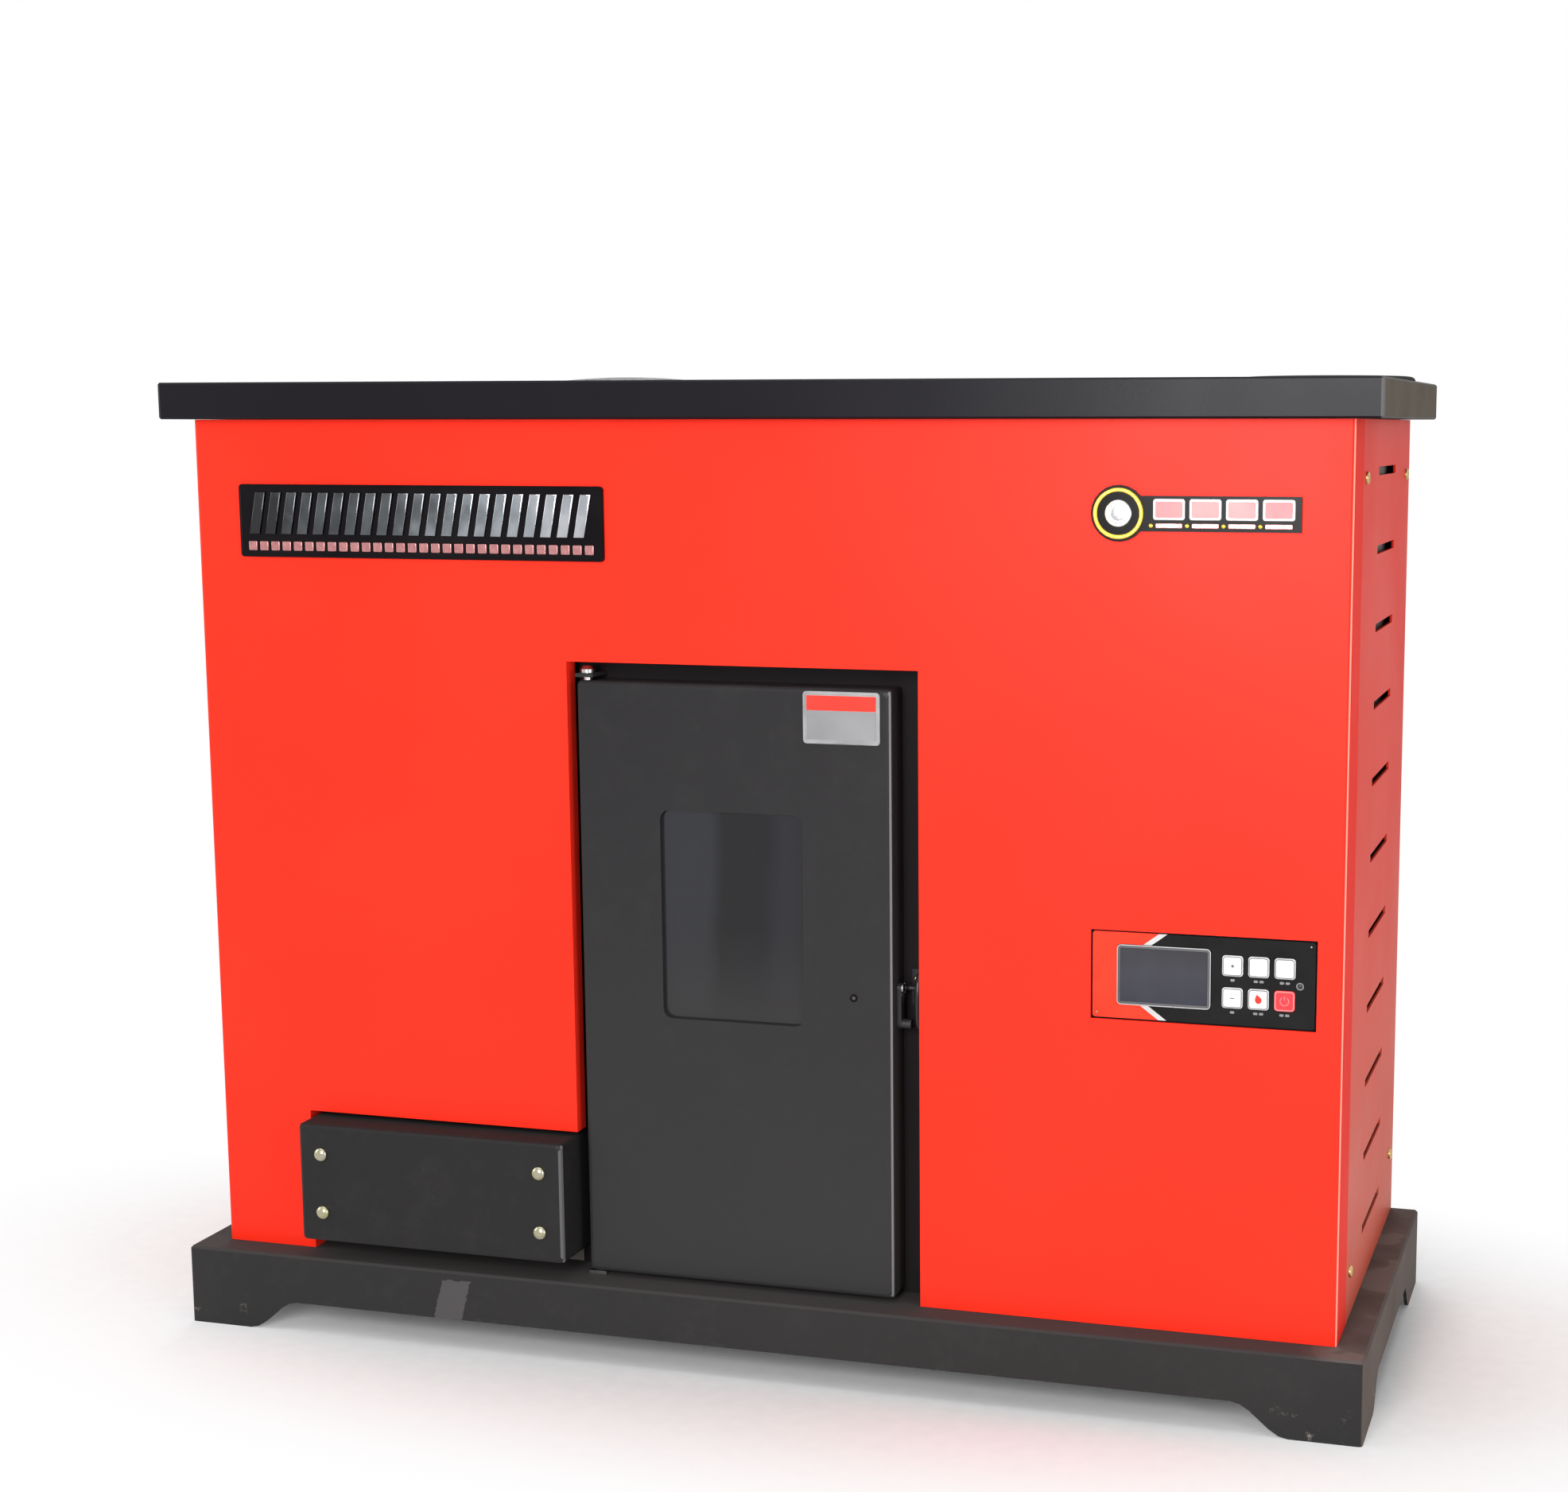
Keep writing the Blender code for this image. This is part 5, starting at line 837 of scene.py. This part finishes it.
def dress_door_label():
    """A blank plate on the door: silver rim, red band over a grey field, no words or signs."""
    low, high, face = front_of("door_label_plate")
    rim = rounded_box(low, high, 0.0004, 0.0026)
    one_form("label_rim", "label_silver", "silver_plate",
             add_frame_ring, rim, shrunk(rim, 0.0017), face, 0.0, 0.0006, 0.0002, body="fire_door")
    side_margin, end_margin, band_height, gap = 0.0032, 0.0034, 0.0158, 0.0002
    left, right, split = low.x + side_margin, high.x - side_margin, high.z - band_height
    band = rounded(left, split + gap, right, high.z - end_margin, 0.0006, 2)
    field = rounded(left, low.z + end_margin, right, split - gap, 0.0006, 2)
    for name, outline, finish, slot in (("label_band", band, "label_red", "red_key"),
                                        ("label_field", field, "label_grey", "silver_plate")):
        one_form(name, finish, slot, add_raised, outline, face, 0.0, 0.0003, 0.0001, 1, body="fire_door")


# Controller
def dress_display():
    """A grey frame with a silver edge round the display."""
    low, high, face = front_of("display_lens")
    edge = rounded_box(low, high, 0.0, 0.0035, 5)
    one_form("display_frame", "frame_grey", "silver_plate",
             add_frame_ring, shrunk(edge, 0.0009), shrunk(edge, 0.0026), face, -0.0008, 0.0006, 0.0003)
    one_form("display_frame_edge", "silver_plate", "silver_plate",
             add_frame_ring, edge, shrunk(edge, 0.0008), face, -0.0008, 0.0009, 0.00025)


def dress_controller():
    """Dashes under the keys, a pilot lamp and two pins on the controller's face."""
    low, high, face = front_of("controller_face")
    half_dash, apart = 0.0017, 0.0023
    bm = bmesh.new()
    for name in KEYS:
        key_low, key_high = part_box(name)
        middle, bottom = (key_low.x + key_high.x) / 2, key_low.z - 0.0044
        for shift in (0.0,) if name in ("key_plus", "key_minus") else (-apart, apart):
            left, right = middle + shift - half_dash, middle + shift + half_dash
            dash = rounded(left, bottom, right, bottom + 0.0020, 0.0006, 2)
            add_raised(bm, dash, face, 0.0, 0.00015, 0.00005, 1)
    new_piece("key_dashes", bm, "label_grey")

    lamp = facing(TO_FRONT, high.x - 0.012, low.y, low.z + 0.0343)
    ring = [(0.0020, 0.0), (0.0022, 0.0005), (0.0029, 0.0005), (0.0031, 0.0)]
    one_form("pilot_ring", "key_rim", "silver_plate", add_turned, ring, lamp, 32, closed=True)
    lens = [(0, 0.0), (0.0019, 0.0), (0.0016, 0.0004), (0.0008, 0.0007), (0, 0.0008)]
    one_form("pilot_lens", "dark_glass", "dark_glass", add_turned, lens, lamp, 24)

    pin = [(0, 0.0), (0.0009, 0.0), (0.0007, 0.0004), (0, 0.0005)]
    bm = bmesh.new()
    for x, z in ((low.x + 0.0035, low.z + 0.0038), (high.x - 0.0035, high.z - 0.0038)):
        add_turned(bm, pin, facing(TO_FRONT, x, low.y, z), 14)
    new_piece("face_pins", bm, "zinc")


def key_face(name):
    return centred(TO_FRONT, name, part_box(name)[0].y)


def dress_keys():
    """A grey edge round each key, and plain marks on them: plus, minus, drop, dot and power."""
    for name in KEYS:
        half = half_width(name) - 0.0004
        rim = rounded(-half, -half, half, half, 0.0026, 5)
        finish = "red_key_edge" if name == "key_power" else "key_rim"
        one_form(f"{name}_rim", finish, "silver_plate", add_frame_ring,
                 rim, shrunk(rim, 0.0010), key_face(name), -0.0004, 0.0001, 0.00005, body=name)

    thin, reach, lift = 0.00035, 0.0016, 0.00012
    plus = [(-thin, -reach), (thin, -reach), (thin, -thin), (reach, -thin), (reach, thin), (thin, thin),
            (thin, reach), (-thin, reach), (-thin, thin), (-reach, thin), (-reach, -thin), (-thin, -thin)]
    minus = rectangle(-reach, -thin, reach, thin)
    drop = [(0.0010, 0.0026), (0.0026, 0.0008), (0.0028, -0.0012), (0.0018, -0.0028), (0.0, -0.0034),
            (-0.0018, -0.0026), (-0.0026, -0.0008), (-0.0024, 0.0016), (-0.0012, 0.0042)]
    for name, outline, finish, slot in (("key_plus", plus, "gloss_black", "gloss_black"),
                                        ("key_minus", minus, "gloss_black", "gloss_black"),
                                        ("key_flame", drop, "label_red", "red_key")):
        one_form(f"{name}_mark", finish, slot, add_slab, outline, key_face(name), 0.0, lift, body=name)
    dot = [(0, 0.0), (0.0034, 0.0), (0.0033, lift), (0, lift)]
    one_form("key_timer_mark", "pale_blue", "white_key",
             add_turned, dot, key_face("key_timer"), 32, body="key_timer")
    ring = arc(0, 0, 0.0038, 125, 415, 28) + arc(0, 0, 0.0030, 415, 125, 28)
    bm = bmesh.new()
    for outline in (ring, rectangle(-0.0004, 0.0005, 0.0004, 0.0042)):
        add_slab(bm, outline, key_face("key_power"), 0.0, lift)
    new_piece("key_power_mark", bm, "rose_enamel", "key_power")


# Fasteners and small hardware
def dress_screws():
    small, big, tiny = cross_screw(0.0042, 0.0022), cross_screw(0.0050, 0.0026), cross_screw(0.0021, 0.0012)
    side = ((0.0685, 0.687), (0.349, 0.685), (0.070, 0.040), (0.346, 0.061))
    for name, x, turn in (("right_panel_screws", RIGHT, TO_RIGHT), ("left_panel_screws", LEFT, TO_LEFT)):
        add_screws(name, big, [(x, FRONT + y, BASE_TOP + z) for y, z in side], turn, "brass")
    rear = [(x, REAR, BASE_TOP + z) for x in (-0.488, -0.17, 0.17, 0.488) for z in (0.012, 0.720)]
    rear += [(x, REAR, BASE_TOP + 0.366) for x in (-0.488, 0.488)]
    add_screws("rear_panel_screws", small, rear, TO_REAR, "zinc")
    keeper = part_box("latch_keeper")[1]
    places = [(keeper.x - 0.0070, keeper.y - 0.0020, z) for z in (0.3427, 0.3277)]
    add_screws("keeper_screws", tiny, places, TO_FRONT, "zinc")


def dress_latch_guard():
    """A round bar that bows out in front of the latch's keeper."""
    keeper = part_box("latch_keeper")[1]
    bow = ((0.0, 0.3000), (0.0080, 0.3005), (0.0135, 0.3035), (0.0165, 0.3095), (0.0175, 0.3170),
           (0.0178, 0.3250), (0.0175, 0.3330), (0.0165, 0.3405), (0.0135, 0.3465), (0.0080, 0.3495),
           (0.0, 0.3500))
    points = [(keeper.x - 0.0005, keeper.y - out, z) for out, z in bow]
    one_form("latch_guard", "latch_black", "gloss_black", add_tube, points, 0.0027, 14)


def dress_door_stop():
    stop = facing(TO_FRONT, 0.096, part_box("fire_door_shell")[0].y, 0.330)
    rim = [(0.0034, -0.0002), (0.0033, 0.0004), (0.0027, 0.0008), (0.0019, 0.0007), (0.0017, 0.0001)]
    one_form("door_stop_rim", "gloss_black", "gloss_black",
             add_turned, rim, stop, 28, closed=True, body="fire_door")
    screw = [(0, -0.0001), (0.0018, -0.0001), (0.0016, 0.0003), (0, 0.0003)]
    one_form("door_stop_screw", "dark_steel", "zinc", add_turned, screw, stop, 6, body="fire_door")


def dress_cover_bolts():
    """Domed heads for the clean-out cover's bolts, each with its shank in the cover."""
    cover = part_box("ash_cover_box")[0].y
    straight, steps = 0.18, 8
    bm = bmesh.new()
    for name in COVER_BOLTS:
        low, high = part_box(name)
        seat = centred(TO_FRONT, name, cover)
        radius, height, depth = half_width(name), cover - low.y, cover - high.y
        dome = [(0, 0.0), (radius, 0.0)]
        for step in range(steps):
            angle = math.radians(90 * step / steps)
            dome.append((radius * math.cos(angle), height * (straight + (1 - straight) * math.sin(angle))))
        dome.append((0, height))
        add_turned(bm, dome, seat, 40)
        add_turned(bm, [(0, -0.0003), (0.0029, -0.0003), (0.0029, depth), (0, depth)], seat, 16)
    heads = new_piece("cover_bolt_domes", bm, "bolt_zinc")
    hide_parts("ash_cover_bolt_1", "ash_cover_bolt_2", "ash_cover_bolt_3", "ash_cover_bolt_4")


def dress_rope():
    """The door's seal: three strands laid round a rounded rectangle, pressed a little flat."""
    low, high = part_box("door_rope_seal")
    centre, half_depth, half_wide = (low.y + high.y) / 2, (high.y - low.y) / 2, 0.0038
    strand, strands, turns, stride = 0.0016, 3, 92, 0.0022
    path = [Vector(point) for point in rounded_box(low, high, 0.004, 0.010, 6)]
    points = []
    for here, ahead in zip(path, path[1:] + path[:1]):
        steps = max(1, round((ahead - here).length / stride))
        points += [here.lerp(ahead, step / steps) for step in range(steps)]
    total = len(points)
    bm = bmesh.new()
    for index in range(strands):
        line = []
        for i, point in enumerate(points):
            tangent = (points[(i + 1) % total] - points[i - 1]).normalized()
            angle = 2 * math.pi * (turns * i / total + index / strands)
            across = (half_wide - strand) * math.cos(angle)
            depth = (half_depth - strand) * math.sin(angle)
            line.append((point.x - tangent.y * across, centre + depth, point.y + tangent.x * across))
        add_tube(bm, line, strand, 6, closed=True)
    rope = new_piece("door_rope", bm, "rope", "fire_door", 60.0)
    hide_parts("door_rope_seal")


# Lids on the slab
def lid_place(node):
    """The middle, radius and lowest height over the slab of a lid's CAD node."""
    low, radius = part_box(node)[0], half_width(node)
    return Vector((low.x + radius, low.y + radius, SLAB_TOP)), radius, low.z - SLAB_TOP


def dress_stove_lid():
    """Cast-iron lid: a shallow dome with two cast grooves, and a lifting bar across a sunk cup."""
    centre, radius, sunk = lid_place("stove_lid")
    seat, edge, proud, cup, depth, steps = 0.0003, 0.0020, 0.0065, 0.019, 0.0008, 44
    plug, brim = radius - 0.017, radius - 0.0008
    grooves = ((0.0345, 0.0385), (0.0525, 0.0565))
    profile = [(0, sunk), (plug, sunk), (plug, seat), (radius, seat), (radius, edge * 0.7)]
    for step in range(steps + 1):
        out = brim - (brim - cup) * step / steps
        height = edge + (proud - edge) * math.sin((1 - out / radius) * math.pi / 2)
        if any(inner < out < outer for inner, outer in grooves):
            height -= depth
        profile.append((out, height))
    profile += [(cup - 0.0012, proud - 0.0036), (cup - 0.004, proud - 0.0046), (0, proud - 0.0046)]
    bm = bmesh.new()
    add_turned(bm, profile, facing(TO_TOP, *centre), 96)
    lid = new_piece("stove_lid_casting", bm, "cast_iron", "stove_lid")
    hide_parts("stove_lid")
    bar = [(centre.x - 0.0175 + 0.035 * i / 8, centre.y, SLAB_TOP + proud - 0.0026) for i in range(9)]
    one_form("stove_lid_bar", "cast_iron", "cast_iron", add_tube, bar, 0.0019, 12, body="stove_lid")


def dress_hopper_lid():
    """Pressed lid: a rolled rim, a shallow dish, a low grip strip and the hinge strap's knuckle."""
    centre, radius, sunk = lid_place("hopper_lid")
    seat, proud, plug = 0.0003, 0.0055, 0.047
    dish = ((0.0, 0.45), (0.0012, 0.75), (0.003, 0.92), (0.006, 1.0), (0.010, 1.0), (0.0125, 0.80),
            (0.0145, 0.62), (0.018, 0.60), (0.021, 0.66), (0.030, 0.74), (0.050, 0.80), (0.075, 0.80))
    profile = [(0, sunk), (plug, sunk), (plug, seat), (radius, seat)]
    profile += [(max(radius - inward, 0), proud * rise) for inward, rise in dish]
    bm = bmesh.new()
    add_turned(bm, profile, facing(TO_TOP, *centre), 96)
    pin_low, pin_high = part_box("hopper_lid_pin")
    pin_y, pin_z = (pin_low.y + pin_high.y) / 2, (pin_low.z + pin_high.z) / 2
    half_strap = 0.0099
    strap = rounded(-half_strap, centre.y + radius - 0.008, half_strap, pin_y, 0.0015, 2)
    add_raised(bm, strap, facing(TO_TOP, centre.x, 0.0, SLAB_TOP), 0.0006, 0.0028, 0.0008)
    knuckle = rectangle(0.0016, -half_strap, 0.0026, half_strap)
    along_pin = Matrix.Rotation(math.radians(90), 4, "Y")
    add_turned(bm, knuckle, facing(along_pin, centre.x, pin_y, pin_z), 28, closed=True)
    lid = new_piece("hopper_lid_pressing", bm, "black_paint", "hopper_lid")
    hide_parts("hopper_lid")
    grip = rounded(-0.016, -0.004, 0.016, 0.004, 0.0038, 6)
    place = facing(TO_TOP, centre.x, centre.y - radius + 0.030, SLAB_TOP)
    one_form("hopper_lid_grip", "black_paint", "black_paint",
             add_raised, grip, place, proud * 0.6, proud * 0.98, 0.0010, body="hopper_lid")


# Rear and inside
def dress_pipes():
    """Threads on the water stubs, and pressed rosettes round them and the flue collar."""
    threads, pitch, root, crest, half_ridge = 9, 0.0023, 0.0004, 0.0006, 0.0011
    bm = bmesh.new()
    for name in WATER_STUBS:
        radius, last = half_width(name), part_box(name)[1].y - 0.0025
        ridge = [(radius - root, -half_ridge), (radius + crest, 0.0), (radius - root, half_ridge)]
        for index in range(threads):
            add_turned(bm, ridge, centred(TO_REAR, name, last - pitch * index), 40, closed=True)
    new_piece("pipe_threads", bm, "zinc")

    bm = bmesh.new()
    for name in WATER_STUBS:
        radius = half_width(name) + 0.0003
        rosette = [(radius, 0.0), (radius, 0.0025), (radius + 0.003, 0.0025), (radius + 0.0055, 0.0012),
                   (radius + 0.006, 0.0)]
        add_turned(bm, rosette, centred(TO_REAR, name, REAR), 40, closed=True)
    radius, seat = half_width("flue_collar"), centred(TO_REAR, "flue_collar", REAR)
    inner = radius + 0.0002
    rosette = [(inner, 0.0), (inner, 0.0018), (radius + 0.010, 0.0018), (radius + 0.011, 0.0)]
    add_turned(bm, rosette, seat, 64, closed=True)
    for along in (0.016, 0.022):
        bead = [(radius - 0.0002, along - 0.0016), (radius + 0.0009, along - 0.0008),
                (radius + 0.0012, along), (radius + 0.0009, along + 0.0008),
                (radius - 0.0002, along + 0.0016)]
        add_turned(bm, bead, seat, 64, closed=True)
    new_piece("rear_rosettes", bm, "galvanised")


def dress_inlet():
    """Three blades in the power inlet and a bezel round it."""
    socket = centred(TO_REAR, "power_inlet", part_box("power_inlet")[1].y)
    thin, tall = 0.0010, 0.0020
    bm = bmesh.new()
    for across, rise in ((-0.0070, -0.0020), (0.0, 0.0020), (0.0070, -0.0020)):
        blade = rounded(across - thin, rise - tall, across + thin, rise + tall, 0.0004, 2)
        add_raised(bm, blade, socket, -0.0150, -0.0030, 0.0003, 1)
    new_piece("inlet_blades", bm, "zinc")
    outer = rounded(-0.0275, -0.0165, 0.0275, 0.0165, 0.004, 5)
    inner = rounded(-0.0140, -0.0070, 0.0140, 0.0070, 0.002, 5)
    bezel = centred(TO_REAR, "power_inlet", REAR + 0.0010)
    one_form("inlet_bezel", "gloss_black", "gloss_black",
             add_frame_ring, outer, inner, bezel, 0.0, 0.0012, 0.0005)


def dress_drawer():
    """A wire pull on the ash drawer, low enough to clear the closed door's pan."""
    low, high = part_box("ash_drawer")
    middle, height = (low.x + high.x) / 2, (low.z + high.z) / 2
    wire = [(-0.035, -0.0005), (-0.034, 0.0032)]
    wire += [(-0.031 + 0.062 * i / 8, 0.0046) for i in range(9)]
    wire += [(0.034, 0.0032), (0.035, -0.0005)]
    points = [(middle + across, low.y - out, height) for across, out in wire]
    one_form("drawer_pull", "zinc", "zinc", add_tube, points, 0.0018, 10)


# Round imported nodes
ROUND_NODES = ("auger_tube", "auger_screw", "burner_pot", "igniter", "burner_fan_rotor", "exhaust_fan_rotor",
               "burner_fan_housing", "exhaust_fan_housing", "tube_bundle", "flue_collar", "water_flow_stub",
               "water_return_stub", "hinge_pin_upper", "latch_pivot_bolt", "hopper_lid_pin", "base_plinth")
ROUND_LIMIT = math.radians(35)


def shade_round(node):
    """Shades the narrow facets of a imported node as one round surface. Its points stay where they are."""
    bm = bmesh.new()
    bm.from_mesh(node.data)
    corners = [(corner, tuple(round(c, 5) for c in corner.vert.co))
               for face in bm.faces for corner in face.loops]
    meeting = {}
    for corner, place in corners:
        meeting.setdefault(place, []).append(corner.face.normal * corner.calc_angle())
    normals = []
    for corner, place in corners:
        near = (other for other in meeting[place] if other.angle(corner.face.normal, 0.0) < ROUND_LIMIT)
        normals.append(sum(near, Vector()).normalized())
    bm.free()
    node.data.shade_smooth()
    node.data.normals_split_custom_set(normals)


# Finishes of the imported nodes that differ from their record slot's
SPECIAL = {"top_slab": "slab_paint", "base_plinth": "plinth_paint", "controller_face": "controller_print",
           "display_lens": "screen_glass", "door_glass": "window_glass", "latch_keeper": "latch_black",
           "latch_handle": "latch_black", "side_panel_left": "side_paint", "side_panel_right": "side_paint",
           "furnace_front_plate": "soot_black", "door_label_plate": "label_silver", "hopper": "boiler_steel",
           "firebox_shell": "sooty_steel", "door_inner_pan": "sooty_steel", "burner_shelf": "sooty_steel",
           "fire_door_shell": "door_paint", "ash_cover_box": "cover_paint", "badge": "gloss_black",
           "hinge_pin_upper": "nickel", "hinge_bracket_lower": "nickel", "latch_pivot_bolt": "nickel"}


def dress_frame():
    """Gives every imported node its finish, and shades the round ones."""
    for entry in frame["record"]["subparts"]:
        node = frame["nodes"][entry["node"]]
        material = materials[SPECIAL.get(entry["node"], entry["material_slot"])]
        if not node.material_slots:
            node.data.materials.append(material)
        for slot in node.material_slots:
            slot.material = material
    for name in ROUND_NODES:
        shade_round(frame["nodes"][name])


add_camera()
set_world()
add_lights()
add_floor()
materials = make_materials()
for dress in (dress_frame, dress_nameplate, dress_badge, dress_door_label, dress_display, dress_controller,
              dress_keys, dress_screws, dress_latch_guard, dress_door_stop, dress_cover_bolts, dress_rope,
              dress_stove_lid, dress_hopper_lid, dress_pipes, dress_inlet, dress_drawer):
    dress()

bpy.context.scene.view_settings.view_transform = "Standard"
